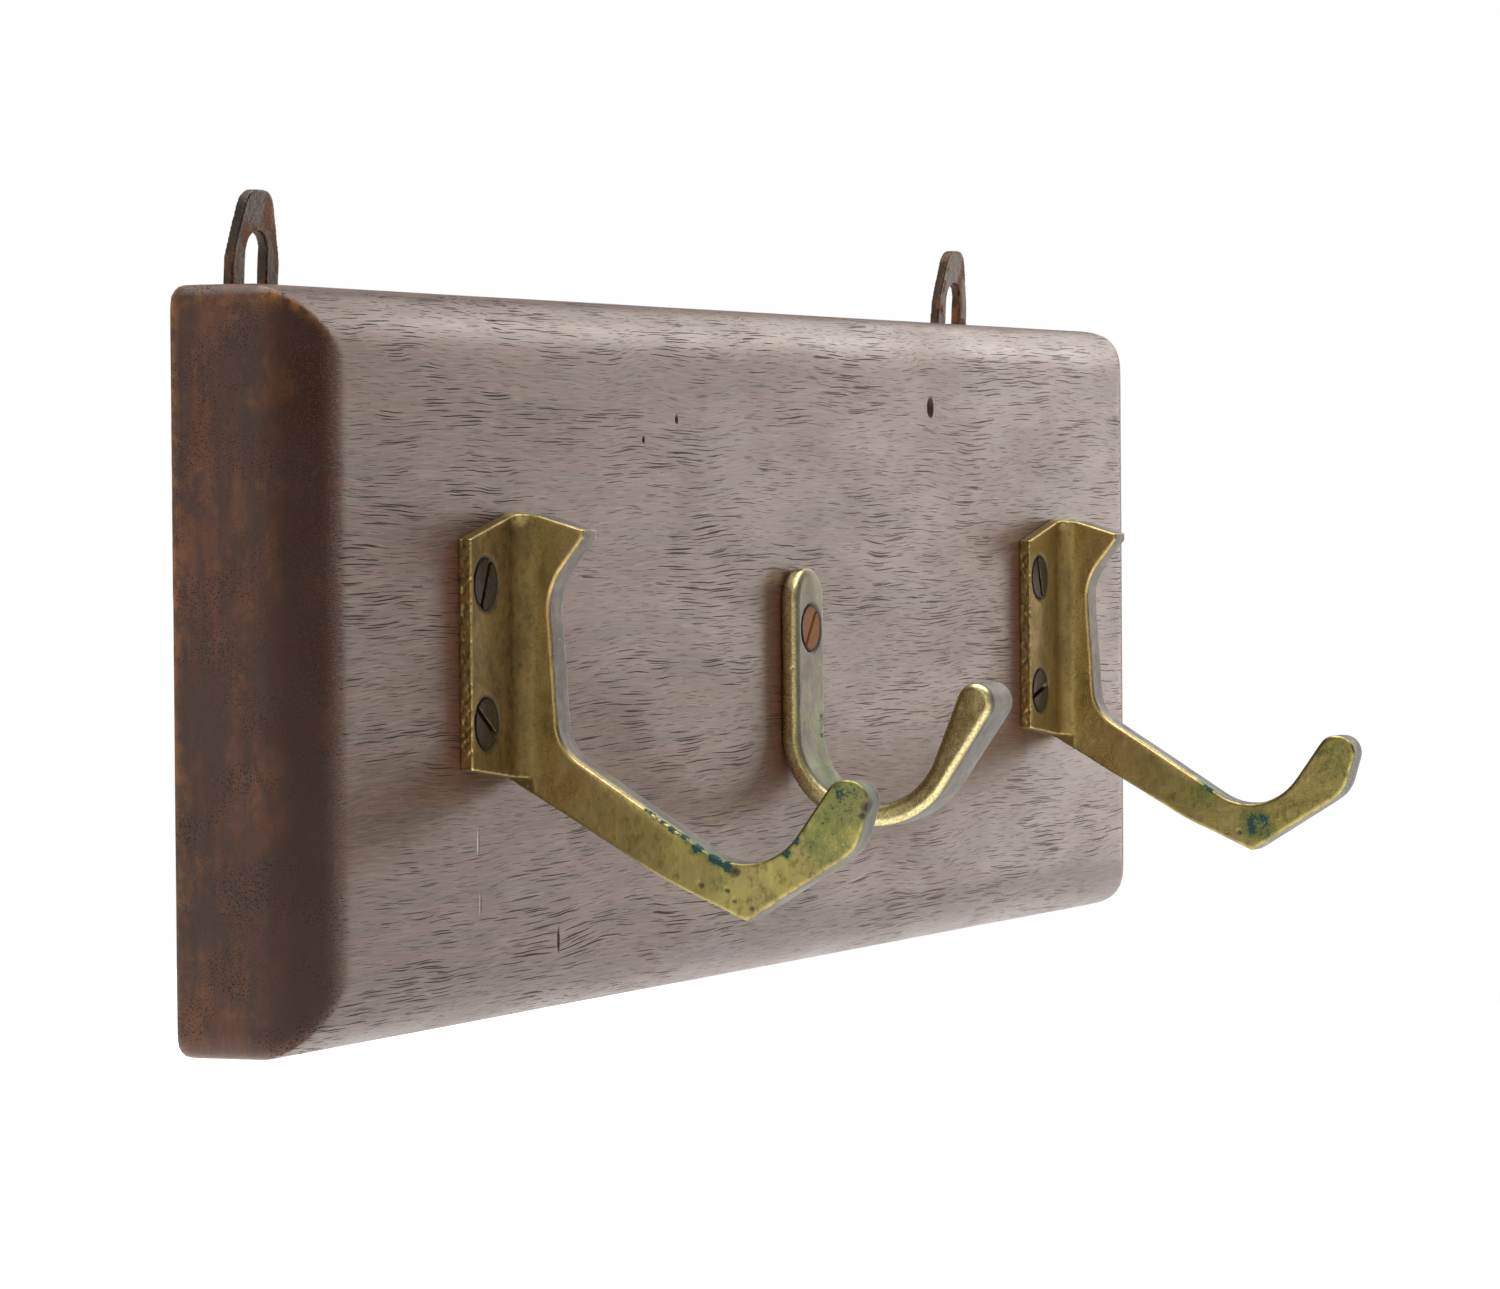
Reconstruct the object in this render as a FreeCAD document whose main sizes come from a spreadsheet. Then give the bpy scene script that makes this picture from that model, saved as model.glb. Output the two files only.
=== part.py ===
import FreeCAD, Part
import math
import os

import Sketcher
from FreeCAD import Rotation, Vector

# Wall coat rail: a hardwood board with two brass angle hooks, one smaller brass
# strap hook between them, and two iron hanger plates let into its back.
#
# Frame: +X runs along the board from its left end to its right end, +Z is up and
# the front of the board faces -Y.  The origin is the middle of the board's back
# face, which lies on the wall.  Lengths are millimetres, angles are degrees.

DIMENSIONS = (
    # the board
    ("board_length", 310.0, "left end to right end"),
    ("board_height", 100.0, "bottom edge to top edge"),
    ("board_thickness", 20.5, "back face to front face"),
    ("board_roundover", 9.5, "quarter round along all four front edges"),
    ("board_corner", 3.0, "rounding of the four corners, seen from the front"),
    ("board_back_ease", 1.0, "easing of the back edges"),
    # where the hooks stand, from the board's left end and from its middle height
    ("left_hook_place", 42.7, "left end to the left hook's flange edge"),
    ("hook_spacing", 210.0, "left hook to right hook"),
    ("left_hook_height", 1.2, "middle of the left hook's flange above mid-height"),
    ("right_hook_drop", 2.6, "right hook below the left hook"),
    ("centre_hook_place", 157.1, "left end to the centre hook's middle"),
    ("centre_screw_height", 2.0, "centre hook's screw above mid-height"),
    # the flange of an angle hook
    ("flange_height", 31.0, "outer edge, bottom to top"),
    ("flange_thick", 1.9, "flange of the angle"),
    ("web_offset", 14.6, "flange's outer edge to the web's near face"),
    ("web_thick", 4.6, "web of the angle, and so of the arm"),
    ("root_top", 18.9, "top of the web where it meets the flange"),
    ("root_bottom", 17.2, "bottom of the web where it meets the flange"),
    ("angle_fillet", 2.5, "inside corner between flange and web"),
    ("brow_margin", 0.6, "least flat web between that corner and the front of the flat top"),
    # the side view of the web: reach is out from the board, rise is up from
    # the flange's middle
    ("brow_reach", 5.0, "front of the flat top"),
    ("brow_rise", 18.5, "front of the flat top"),
    ("thorn_reach", 11.6, "upper thorn"),
    ("thorn_rise", 16.5, "upper thorn, top corner"),
    ("thorn_blunt", 1.1, "height of the thorn's blunt end"),
    ("waist_reach", 6.3, "narrowest place under the thorn"),
    ("waist_rise", 8.6, "narrowest place under the thorn"),
    ("bend_reach", 7.7, "where the arm leaves the web"),
    ("bend_drop", 13.2, "where the arm leaves the web"),
    ("elbow_reach", 37.4, "inside corner of the elbow"),
    ("elbow_drop", 31.8, "inside corner of the elbow"),
    ("tip_inner_reach", 48.1, "inner corner of the tip"),
    ("tip_reach", 54.0, "outer corner of the tip"),
    ("tip_drop", 16.9, "top of the tip, below the flange's middle"),
    ("cheek_reach", 51.2, "outer side of the tip"),
    ("cheek_drop", 26.4, "outer side of the tip"),
    ("apex_reach", 35.3, "pointed underside of the elbow"),
    ("apex_drop", 36.1, "pointed underside of the elbow"),
    ("arm_reach", 23.5, "slight bend in the arm's underside"),
    ("arm_drop", 30.8, "slight bend in the arm's underside"),
    ("waist_round", 9.0, "radius under the thorn"),
    ("bend_round", 7.0, "radius where the arm leaves the web"),
    ("elbow_round", 10.0, "radius inside the elbow"),
    ("tip_round", 2.9, "radius of the tip's corners"),
    ("cheek_round", 6.0, "radius of the tip's outer side"),
    ("arm_round", 40.0, "radius of the arm's slight bend"),
    ("apex_round", 0.8, "radius of the pointed elbow"),
    ("hook_edge", 0.4, "worn edge of the web"),
    # screws
    ("hook_screw_edge", 4.6, "flange's outer edge to its screws"),
    ("hook_screw_spread", 18.8, "upper to lower screw of an angle hook"),
    ("screw_head", 7.0, "head diameter"),
    ("screw_rim", 0.15, "straight rim of the head"),
    ("screw_shank", 3.5, "shank diameter"),
    ("screw_length", 16.0, "head to point"),
    ("screw_point", 3.0, "length of the pointed end"),
    ("slot_width", 0.9, "driver slot"),
    ("slot_depth", 0.8, "driver slot"),
    ("left_upper_turn", 25.0, "slot's turn from upright"),
    ("left_lower_turn", -56.0, "slot's turn from upright"),
    ("right_upper_turn", -18.0, "slot's turn from upright"),
    ("right_lower_turn", 74.0, "slot's turn from upright"),
    ("centre_turn", 38.0, "slot's turn from upright"),
    ("screw_gap", 0.05, "radial gap between a shank and its hole"),
    # the centre hook
    ("strap_width", 10.8, "width of the upright strap"),
    ("strap_thick", 2.9, "thickness of the upright strap"),
    ("strap_top", 9.1, "top of the strap above its screw"),
    ("strap_bend_drop", 15.4, "middle of the bend below the screw"),
    ("strap_bend", 14.3, "outer radius of the bend"),
    ("arm_thick", 3.3, "thickness through the bend"),
    ("ball_reach", 30.9, "middle of the rounded tip, out from the board"),
    ("ball_drop", 11.0, "middle of the rounded tip, below the screw"),
    ("ball_radius", 3.0, "rounded tip, seen from the side"),
    ("neck_start", 5.0, "where the strap begins to narrow, out from the board"),
    ("neck_reach", 20.0, "narrowest place, out from the board"),
    ("neck_width", 7.8, "narrowest width of the arm"),
    ("ball_width", 9.0, "width of the rounded tip"),
    ("neck_round", 40.0, "radius where the narrowing starts, turns and ends"),
    ("strap_edge", 1.1, "rounding of the strap's edges"),
    # hanger plates
    ("left_hanger_place", 21.8, "left end to the left plate's middle"),
    ("right_hanger_place", 38.5, "right end to the right plate's middle"),
    ("hanger_width", 13.0, "across the plate"),
    ("hanger_rise", 13.0, "plate above the board's top edge"),
    ("hanger_bury", 27.0, "plate below the board's top edge"),
    ("hanger_thick", 1.4, "plate thickness"),
    ("hanger_shoulder", 4.0, "where the plate starts to taper, above the board"),
    ("hanger_crown", 6.6, "flat across the top before rounding"),
    ("hanger_crown_round", 3.2, "radius of the top corners"),
    ("hanger_side_round", 9.0, "radius where the taper starts"),
    ("hanger_foot_round", 1.5, "radius of the bottom corners"),
    ("eye_width", 5.9, "slot for the wall screw"),
    ("eye_rise", 7.5, "top of the slot above the board's top edge"),
    ("eye_bury", 3.0, "bottom of the slot below the board's top edge"),
    ("mortise_gap", 0.15, "gap round a plate in its mortise"),
    ("hanger_screw_drop", 8.5, "upper screw below the board's top edge"),
    ("hanger_screw_spread", 12.0, "upper to lower screw of a plate"),
    ("small_head", 5.4, "head diameter of a plate's screw"),
    ("small_rim", 0.1, "straight rim of that head"),
    ("small_shank", 2.8, "shank diameter of a plate's screw"),
    ("small_length", 12.0, "head to point of a plate's screw"),
    ("small_point", 2.5, "length of its pointed end"),
    ("small_slot_width", 0.8, "its driver slot"),
    ("small_slot_depth", 0.6, "its driver slot"),
)

COUNTERSINK = 90.0
SHARP_TURN = 45.0
X_AXIS = Vector(1, 0, 0)
Y_AXIS = Vector(0, 1, 0)
Z_AXIS = Vector(0, 0, 1)
NEAR = 1e-3

doc = FreeCAD.newDocument("coat_rail")


def make_sheet():
    """Put every driving dimension in one named cell."""
    new_sheet = doc.addObject("Spreadsheet::Sheet", "Dimensions")
    for row, (alias, value, note) in enumerate(DIMENSIONS, start=1):
        new_sheet.set(f"A{row}", alias)
        new_sheet.set(f"B{row}", str(value))
        new_sheet.setAlias(f"B{row}", alias)
        new_sheet.set(f"C{row}", note)
    doc.recompute()
    return new_sheet


sheet = make_sheet()
ALIASES = [alias for alias, _, _ in DIMENSIONS]


def size(expression):
    """The number that an expression over the sheet's names gives now."""
    return float(sheet.evalExpression(expression))


def linked(expression):
    """The same expression, as an object outside the sheet has to write it."""
    words = []
    word = ""
    for letter in expression + " ":
        if letter.isalnum() or letter == "_":
            word += letter
            continue
        words.append(f"Dimensions.{word}" if word in ALIASES else word)
        words.append(letter)
        word = ""
    return "".join(words).strip()


def bind(target, path, expression):
    target.setExpression(path, linked(expression))


# --- sketching -------------------------------------------------------------------

def new_body(label, base=("0", "0", "0"), turn="0"):
    """A body whose place is bound to the sheet; turn is about its own Y axis."""
    body = doc.addObject("PartDesign::Body", label)
    body.Label = label
    for letter, expression in zip("xyz", base):
        bind(body, f"Placement.Base.{letter}", expression)
    body.Placement.Rotation = Rotation(Y_AXIS, size(turn))
    return body


def new_sketch(body, name, role, lift="0"):
    """A sketch on one of the body's own origin planes, lifted along its normal."""
    sketch = body.newObject("Sketcher::SketchObject", name)
    planes = [item for item in body.Origin.OriginFeatures if item.Role == role]
    sketch.AttachmentSupport = [(planes[0], "")]
    sketch.MapMode = "FlatFace"
    bind(sketch, "AttachmentOffset.Base.z", lift)
    return sketch


def constrain(sketch, expression, *arguments):
    """Add a dimension to a sketch and bind it to the sheet."""
    index = sketch.addConstraint(Sketcher.Constraint(*arguments, size(expression)))
    bind(sketch, f"Constraints[{index}]", expression)


def place_point(sketch, geometry, end, across, up):
    constrain(sketch, across, "DistanceX", -1, 1, geometry, end)
    constrain(sketch, up, "DistanceY", -1, 1, geometry, end)


def draw_polygon(sketch, corners):
    """A closed outline whose corners are pairs of expressions."""
    points = [Vector(size(across), size(up), 0) for across, up in corners]
    first = sketch.GeometryCount
    count = len(points)
    for index, point in enumerate(points):
        sketch.addGeometry(Part.LineSegment(point, points[(index + 1) % count]), False)
    for index in range(count):
        here = first + index
        following = first + (index + 1) % count
        sketch.addConstraint(Sketcher.Constraint("Coincident", here, 2, following, 1))
    for index, (across, up) in enumerate(corners):
        place_point(sketch, first + index, 1, across, up)


def draw_circles(sketch, radius, centres):
    for index, (across, up) in enumerate(centres, start=sketch.GeometryCount):
        centre = Vector(size(across), size(up), 0)
        sketch.addGeometry(Part.Circle(centre, Z_AXIS, size(radius)), False)
        place_point(sketch, index, 3, across, up)
        constrain(sketch, radius, "Radius", index)


# --- features --------------------------------------------------------------------

def pad(body, sketch, length, symmetric=False):
    feature = body.newObject("PartDesign::Pad", f"{sketch.Name}_pad")
    feature.Profile = sketch
    feature.SideType = "Symmetric" if symmetric else "One side"
    bind(feature, "Length", length)
    doc.recompute()
    return feature


def pocket(body, sketch, depth, symmetric=False, backward=False):
    """Cut a sketch away, and make sure that it cut something."""
    before = body.Shape.Volume
    feature = body.newObject("PartDesign::Pocket", f"{sketch.Name}_cut")
    feature.Profile = sketch
    feature.SideType = "Symmetric" if symmetric else "One side"
    feature.Reversed = backward
    bind(feature, "Length", depth)
    doc.recompute()
    if not body.Shape.Volume < before:
        raise RuntimeError(f"{feature.Name} cuts nothing")
    return feature


def screw_holes(body, name, lift, centres, kind, backward=False):
    """Holes right through a plate, countersunk to seat one kind of screw."""
    sketch = new_sketch(body, name, "XZ_Plane", lift)
    draw_circles(sketch, f"{kind}_shank / 2", centres)
    doc.recompute()
    before = body.Shape.Volume
    feature = body.newObject("PartDesign::Hole", f"{name}_hole")
    feature.Profile = sketch
    doc.recompute()
    feature.Reversed = backward
    feature.Threaded = False
    feature.DepthType = "ThroughAll"
    feature.HoleCutType = "Countersink"
    feature.HoleCutCustomValues = True
    feature.HoleCutCountersinkAngle = COUNTERSINK
    bind(feature, "Diameter", f"{kind}_shank + 2 * screw_gap")
    bind(feature, "HoleCutDiameter", f"{kind}_head + 2 * {kind}_rim")
    doc.recompute()
    if not body.Shape.Volume < before:
        raise RuntimeError(f"{feature.Name} cuts nothing")
    return feature


def edges_where(shape, wanted):
    """Names of the edges for which wanted(edge, its middle point) is true."""
    names = []
    for index, edge in enumerate(shape.Edges, start=1):
        middle = edge.valueAt((edge.FirstParameter + edge.LastParameter) / 2)
        if wanted(edge, middle):
            names.append(f"Edge{index}")
    return names


def fillet(body, name, radius, wanted, count=0):
    """Round the edges that wanted picks: count of them, or any number if it is 0."""
    before = body.Tip
    names = edges_where(before.Shape, wanted)
    if not names or count not in (0, len(names)):
        raise RuntimeError(f"{name} found {len(names)} edges and needs {count}")
    feature = body.newObject("PartDesign::Fillet", name)
    feature.Base = (before, names)
    bind(feature, "Radius", radius)
    doc.recompute()
    return feature


def is_straight_along(edge, axis):
    """True for a straight edge that runs along an axis."""
    if not isinstance(edge.Curve, Part.Line):
        return False
    return abs(abs(edge.Curve.Direction.dot(axis)) - 1) < 1e-6


def is_sharp(shape, edge, middle):
    """True where the two faces beside an edge meet at more than SHARP_TURN."""
    normals = []
    for face in shape.ancestorsOfType(edge, Part.Face):
        across, along = face.Surface.parameter(middle)
        normals.append(face.normalAt(across, along))
    return len(normals) == 2 and math.degrees(normals[0].getAngle(normals[1])) > SHARP_TURN


# --- places that several pieces share ----------------------------------------------

LEFT_END = "-board_length / 2"
FRONT = "-board_thickness"
HOOKS = {
    "left_hook": (f"{LEFT_END} + left_hook_place", FRONT, "left_hook_height"),
    "right_hook": (
        f"{LEFT_END} + left_hook_place + hook_spacing",
        FRONT,
        "left_hook_height - right_hook_drop",
    ),
}
CENTRE_HOOK = (f"{LEFT_END} + centre_hook_place", FRONT, "centre_screw_height")
HANGERS = {
    "left_hanger_plate": (f"{LEFT_END} + left_hanger_place", "0", "board_height / 2"),
    "right_hanger_plate": ("board_length / 2 - right_hanger_place", "0", "board_height / 2"),
}
HOOK_SCREW_RISES = {"upper": "hook_screw_spread / 2", "lower": "-hook_screw_spread / 2"}
HANGER_SCREW_RISES = {
    "upper": "-hanger_screw_drop",
    "lower": "-hanger_screw_drop - hanger_screw_spread",
}


def front_screw_places():
    """Every screw in the board's front: name, place of its head, and slot turn."""
    places = []
    for hook, (across, _, up) in HOOKS.items():
        side = hook.split("_")[0]
        for level, rise in HOOK_SCREW_RISES.items():
            head = (f"{across} + hook_screw_edge", f"{FRONT} - flange_thick", f"{up} + {rise}")
            places.append((f"{hook}_{level}_screw", head, f"{side}_{level}_turn"))
    across, _, up = CENTRE_HOOK
    head = (across, f"{FRONT} - strap_thick", up)
    places.append(("centre_hook_screw", head, "centre_turn"))
    return places


def back_screw_places():
    """Every screw in the board's back: name and place of its head."""
    places = []
    for hanger, (across, _, up) in HANGERS.items():
        side = hanger.split("_")[0]
        for level, rise in HANGER_SCREW_RISES.items():
            places.append((f"{side}_hanger_{level}_screw", (across, "0", f"{up} + {rise}")))
    return places


# --- the board ---------------------------------------------------------------------

def round_front_edges(body, name, role, half, depth):
    """Cut the two front edges that cross an origin plane to a quarter round."""
    shoulder = f"{FRONT} + board_roundover"
    radius = size("board_roundover")
    for word, side in (("low", "-1"), ("high", "1")):
        edge = f"{side} * {half}"
        inner = f"{side} * ({half} - board_roundover)"
        on_side = (edge, shoulder)
        on_front = (inner, FRONT)
        corner = (edge, FRONT)
        centre = (inner, shoulder)
        if role == "YZ_Plane":
            on_side, on_front, corner, centre = (
                pair[::-1] for pair in (on_side, on_front, corner, centre))
        points = [Vector(size(pair[0]), size(pair[1]), 0)
                  for pair in (on_side, on_front, corner, centre)]
        spokes = [point - points[3] for point in points[:2]]
        angles = [math.atan2(spoke.y, spoke.x) for spoke in spokes]
        starts_on_side = spokes[0].cross(spokes[1]).z > 0
        start = angles[0] if starts_on_side else angles[1]
        side_end, front_end = (1, 2) if starts_on_side else (2, 1)
        circle = Part.Circle(points[3], Z_AXIS, radius)
        sketch = new_sketch(body, f"{name}_{word}", role)
        sketch.addGeometry(Part.ArcOfCircle(circle, start, start + math.pi / 2), False)
        sketch.addGeometry(Part.LineSegment(points[1], points[2]), False)
        sketch.addGeometry(Part.LineSegment(points[2], points[0]), False)
        sketch.addConstraint(Sketcher.Constraint("Coincident", 0, front_end, 1, 1))
        sketch.addConstraint(Sketcher.Constraint("Coincident", 1, 2, 2, 1))
        sketch.addConstraint(Sketcher.Constraint("Coincident", 2, 2, 0, side_end))
        place_point(sketch, 0, 3, *centre)
        place_point(sketch, 1, 1, *on_front)
        place_point(sketch, 2, 1, *corner)
        direction = "DistanceX" if role == "YZ_Plane" else "DistanceY"
        constrain(sketch, shoulder, direction, -1, 1, 0, side_end)
        pocket(body, sketch, depth, symmetric=True)


def make_board():
    body = new_body("backboard")
    outline = new_sketch(body, "board_outline", "XZ_Plane")
    half_length = "board_length / 2"
    half_height = "board_height / 2"
    draw_polygon(outline, (
        (f"-{half_length}", f"-{half_height}"),
        (half_length, f"-{half_height}"),
        (half_length, half_height),
        (f"-{half_length}", half_height),
    ))
    pad(body, outline, "board_thickness")
    fillet(body, "board_corners", "board_corner",
           lambda edge, middle: is_straight_along(edge, Y_AXIS), 4)
    fillet(body, "board_back_edges", "board_back_ease",
           lambda edge, middle: abs(middle.y) < NEAR, 8)
    round_front_edges(body, "end_round", "XY_Plane", half_length, "2 * board_height")
    round_front_edges(body, "edge_round", "YZ_Plane", half_height, "2 * board_length")

    holes = new_sketch(body, "front_holes", "XZ_Plane", "board_thickness")
    centres = [(place[0], place[2]) for _, place, _ in front_screw_places()]
    draw_circles(holes, "screw_shank / 2 + screw_gap", centres)
    pocket(body, holes, "screw_length - flange_thick + screw_gap")

    mortises = new_sketch(body, "hanger_mortises", "XZ_Plane")
    for across, _, up in HANGERS.values():
        low = f"{up} - hanger_bury - mortise_gap"
        left = f"{across} - hanger_width / 2 - mortise_gap"
        right = f"{across} + hanger_width / 2 + mortise_gap"
        high = f"{up} + board_roundover"
        draw_polygon(mortises, ((left, low), (right, low), (right, high), (left, high)))
    pocket(body, mortises, "hanger_thick", backward=True)

    small_holes = new_sketch(body, "back_holes", "XZ_Plane")
    centres = [(place[0], place[2]) for _, place in back_screw_places()]
    draw_circles(small_holes, "small_shank / 2 + screw_gap", centres)
    pocket(body, small_holes, "small_length + screw_gap", backward=True)
    return body


# --- the angle hooks ---------------------------------------------------------------

def make_angle_hook(label, place):
    """One hook sawn from a length of brass angle, its flange on the board."""
    body = new_body(label, place)
    section = new_sketch(body, f"{label}_section", "XY_Plane")
    web_far = "web_offset + web_thick"
    draw_polygon(section, (
        ("0", "0"),
        (web_far, "0"),
        (web_far, "-tip_reach"),
        ("web_offset", "-tip_reach"),
        ("web_offset", "-flange_thick"),
        ("0", "-flange_thick"),
    ))
    pad(body, section, "2 * apex_drop", symmetric=True)
    inside = Vector(size("web_offset"), -size("flange_thick"), 0)
    # a thick flange leaves less room for the inside corner, so it is limited to what is left
    corner_radius = "min(angle_fillet; brow_reach - brow_margin - flange_thick)"
    fillet(body, f"{label}_inside_corner", corner_radius,
           lambda edge, middle: Vector(middle.x, middle.y, 0).distanceToPoint(inside) < NEAR, 1)

    side_waste = new_sketch(body, f"{label}_side_waste", "YZ_Plane")
    far = "tip_reach + web_offset"
    draw_polygon(side_waste, (
        ("web_offset", f"-{far}"),
        ("web_offset", far),
        (f"-({far})", far),
        (f"-({far})", f"-{far}"),
    ))
    draw_polygon(side_waste, (
        ("flange_thick", "root_top"),
        ("0", "root_top"),
        ("-brow_reach", "brow_rise"),
        ("-thorn_reach", "thorn_rise"),
        ("-thorn_reach", "thorn_rise - thorn_blunt"),
        ("-waist_reach", "waist_rise"),
        ("-bend_reach", "-bend_drop"),
        ("-elbow_reach", "-elbow_drop"),
        ("-tip_inner_reach", "-tip_drop"),
        ("-tip_reach", "-tip_drop"),
        ("-cheek_reach", "-cheek_drop"),
        ("-apex_reach", "-apex_drop"),
        ("-arm_reach", "-arm_drop"),
        ("0", "-root_bottom"),
        ("flange_thick", "-root_bottom"),
    ))
    pocket(body, side_waste, "4 * web_offset", symmetric=True)

    flange_waste = new_sketch(body, f"{label}_flange_waste", "XZ_Plane")
    for side, root in (("", "root_top"), ("-", "root_bottom")):
        draw_polygon(flange_waste, (
            ("0", f"{side}flange_height / 2"),
            ("web_offset", f"{side}{root}"),
            ("web_offset", f"{side}apex_drop"),
            ("0", f"{side}apex_drop"),
        ))
    pocket(body, flange_waste, "4 * flange_thick", symmetric=True)

    rounds = (
        ("tip_inner", "tip_round", "tip_inner_reach", "tip_drop"),
        ("tip_outer", "tip_round", "tip_reach", "tip_drop"),
        ("cheek", "cheek_round", "cheek_reach", "cheek_drop"),
        ("apex", "apex_round", "apex_reach", "apex_drop"),
        ("arm", "arm_round", "arm_reach", "arm_drop"),
        ("elbow", "elbow_round", "elbow_reach", "elbow_drop"),
        ("bend", "bend_round", "bend_reach", "bend_drop"),
        ("waist", "waist_round", "waist_reach", "-waist_rise"),
    )
    for name, radius, reach, drop in rounds:
        corner = Vector(0, -size(reach), -size(drop))
        fillet(body, f"{label}_{name}_round", radius,
               lambda edge, middle: is_straight_along(edge, X_AXIS)
               and Vector(0, middle.y, middle.z).distanceToPoint(corner) < NEAR, 1)

    faces = (size("web_offset"), size(web_far))
    past_corner = -size(f"flange_thick + {corner_radius}")

    def is_web_edge(edge, middle):
        on_face = min(abs(middle.x - face) for face in faces) < NEAR
        ends = [vertex.Point for vertex in edge.Vertexes]
        flat = max(abs(end.x - middle.x) for end in ends) < NEAR
        return on_face and flat and max(end.y for end in ends) < past_corner

    fillet(body, f"{label}_worn_edges", "hook_edge", is_web_edge)
    centres = [("hook_screw_edge", rise) for rise in HOOK_SCREW_RISES.values()]
    screw_holes(body, f"{label}_screws", "flange_thick", centres, "screw")
    return body


# --- the centre hook ---------------------------------------------------------------

def draw_strap_side(sketch):
    """The side view of the strap: upright, round bend, straight arm, round tip.

    The arm's outer line touches the bend's outer arc and the tip's arc, and its
    inner line touches the bend's inner arc and the tip's arc.
    """
    bend_middle = -size("strap_bend_drop")
    outer = size("strap_bend")
    inner = outer - size("arm_thick")
    tip = size("ball_radius")
    outer_centre = Vector(-outer, bend_middle, 0)
    inner_centre = Vector(-size("strap_thick") - inner, bend_middle, 0)
    tip_centre = Vector(-size("ball_reach"), -size("ball_drop"), 0)

    def touch_angle(centre, reach):
        """Direction square to the line that touches both circles."""
        span = tip_centre - centre
        lean = math.atan2(span.y, span.x)
        return lean + math.acos(reach / span.Length)

    outer_angle = touch_angle(outer_centre, outer - tip)
    inner_angle = touch_angle(inner_centre, inner + tip)

    def on_circle(centre, radius, angle):
        return centre + Vector(math.cos(angle), math.sin(angle), 0) * radius

    full = 2 * math.pi
    top = size("strap_top")
    outer_start = on_circle(outer_centre, outer, outer_angle)
    inner_start = on_circle(inner_centre, inner, inner_angle)
    tip_outer = on_circle(tip_centre, tip, outer_angle)
    tip_inner = on_circle(tip_centre, tip, inner_angle - math.pi)
    front = -size("strap_thick")
    pieces = (
        Part.LineSegment(Vector(0, top, 0), Vector(0, bend_middle, 0)),
        Part.ArcOfCircle(Part.Circle(outer_centre, Z_AXIS, outer), outer_angle, full),
        Part.LineSegment(outer_start, tip_outer),
        Part.ArcOfCircle(Part.Circle(tip_centre, Z_AXIS, tip),
                         inner_angle - math.pi, outer_angle),
        Part.LineSegment(tip_inner, inner_start),
        Part.ArcOfCircle(Part.Circle(inner_centre, Z_AXIS, inner), inner_angle, full),
        Part.LineSegment(Vector(front, bend_middle, 0), Vector(front, top, 0)),
        Part.LineSegment(Vector(front, top, 0), Vector(0, top, 0)),
    )
    for piece in pieces:
        sketch.addGeometry(piece, False)
    back_line, outer_arc, outer_line, tip_arc, inner_line, inner_arc, front_line, top_line = range(8)
    joints = (
        ("Tangent", back_line, 2, outer_arc, 2),
        ("Tangent", outer_arc, 1, outer_line, 1),
        ("Tangent", outer_line, 2, tip_arc, 2),
        ("Tangent", tip_arc, 1, inner_line, 1),
        ("Tangent", inner_line, 2, inner_arc, 1),
        ("Tangent", inner_arc, 2, front_line, 1),
        ("Coincident", front_line, 2, top_line, 1),
        ("Coincident", top_line, 2, back_line, 1),
        ("Vertical", back_line),
        ("Vertical", front_line),
        ("Horizontal", top_line),
        ("PointOnObject", back_line, 1, -2),
    )
    for joint in joints:
        sketch.addConstraint(Sketcher.Constraint(*joint))
    constrain(sketch, "strap_bend", "Radius", outer_arc)
    constrain(sketch, "strap_bend - arm_thick", "Radius", inner_arc)
    constrain(sketch, "ball_radius", "Radius", tip_arc)
    constrain(sketch, "-strap_bend_drop", "DistanceY", -1, 1, outer_arc, 3)
    constrain(sketch, "-strap_bend_drop", "DistanceY", -1, 1, inner_arc, 3)
    constrain(sketch, "strap_thick", "DistanceX", top_line, 1, top_line, 2)
    constrain(sketch, "strap_top", "DistanceY", -1, 1, back_line, 1)
    place_point(sketch, tip_arc, 3, "-ball_reach", "-ball_drop")


def make_centre_hook():
    body = new_body("centre_hook", CENTRE_HOOK)
    side_view = new_sketch(body, "strap_side", "YZ_Plane")
    draw_strap_side(side_view)
    pad(body, side_view, "strap_width", symmetric=True)

    beyond = "-ball_reach - strap_width"
    for side in (-1, 1):
        waste = new_sketch(body, f"strap_waste_{'left' if side < 0 else 'right'}", "XY_Plane")
        outside = f"{side} * strap_width"
        draw_polygon(waste, (
            (f"{side} * strap_width / 2", "-neck_start"),
            (f"{side} * neck_width / 2", "-neck_reach"),
            (f"{side} * ball_width / 2", "-ball_reach"),
            (f"{side} * ball_width / 2", beyond),
            (outside, beyond),
            (outside, "-neck_start"),
        ))
        pocket(body, waste, "6 * strap_bend", symmetric=True)

    top = size("strap_top")
    fillet(body, "strap_top_round", "strap_width / 2 - strap_edge / 4",
           lambda edge, middle: is_straight_along(edge, Y_AXIS) and abs(middle.z - top) < NEAR, 2)

    kinks = [-size(reach) for reach in ("neck_start", "neck_reach", "ball_reach")]
    fillet(body, "strap_neck_round", "neck_round",
           lambda edge, middle: is_straight_along(edge, Z_AXIS)
           and min(abs(middle.y - kink) for kink in kinks) < NEAR, 6)
    shape = body.Tip.Shape
    fillet(body, "strap_edges", "strap_edge",
           lambda edge, middle: is_sharp(shape, edge, middle))
    screw_holes(body, "strap_screw", "strap_thick", [("0", "0")], "screw")
    return body


# --- hanger plates -----------------------------------------------------------------

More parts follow.
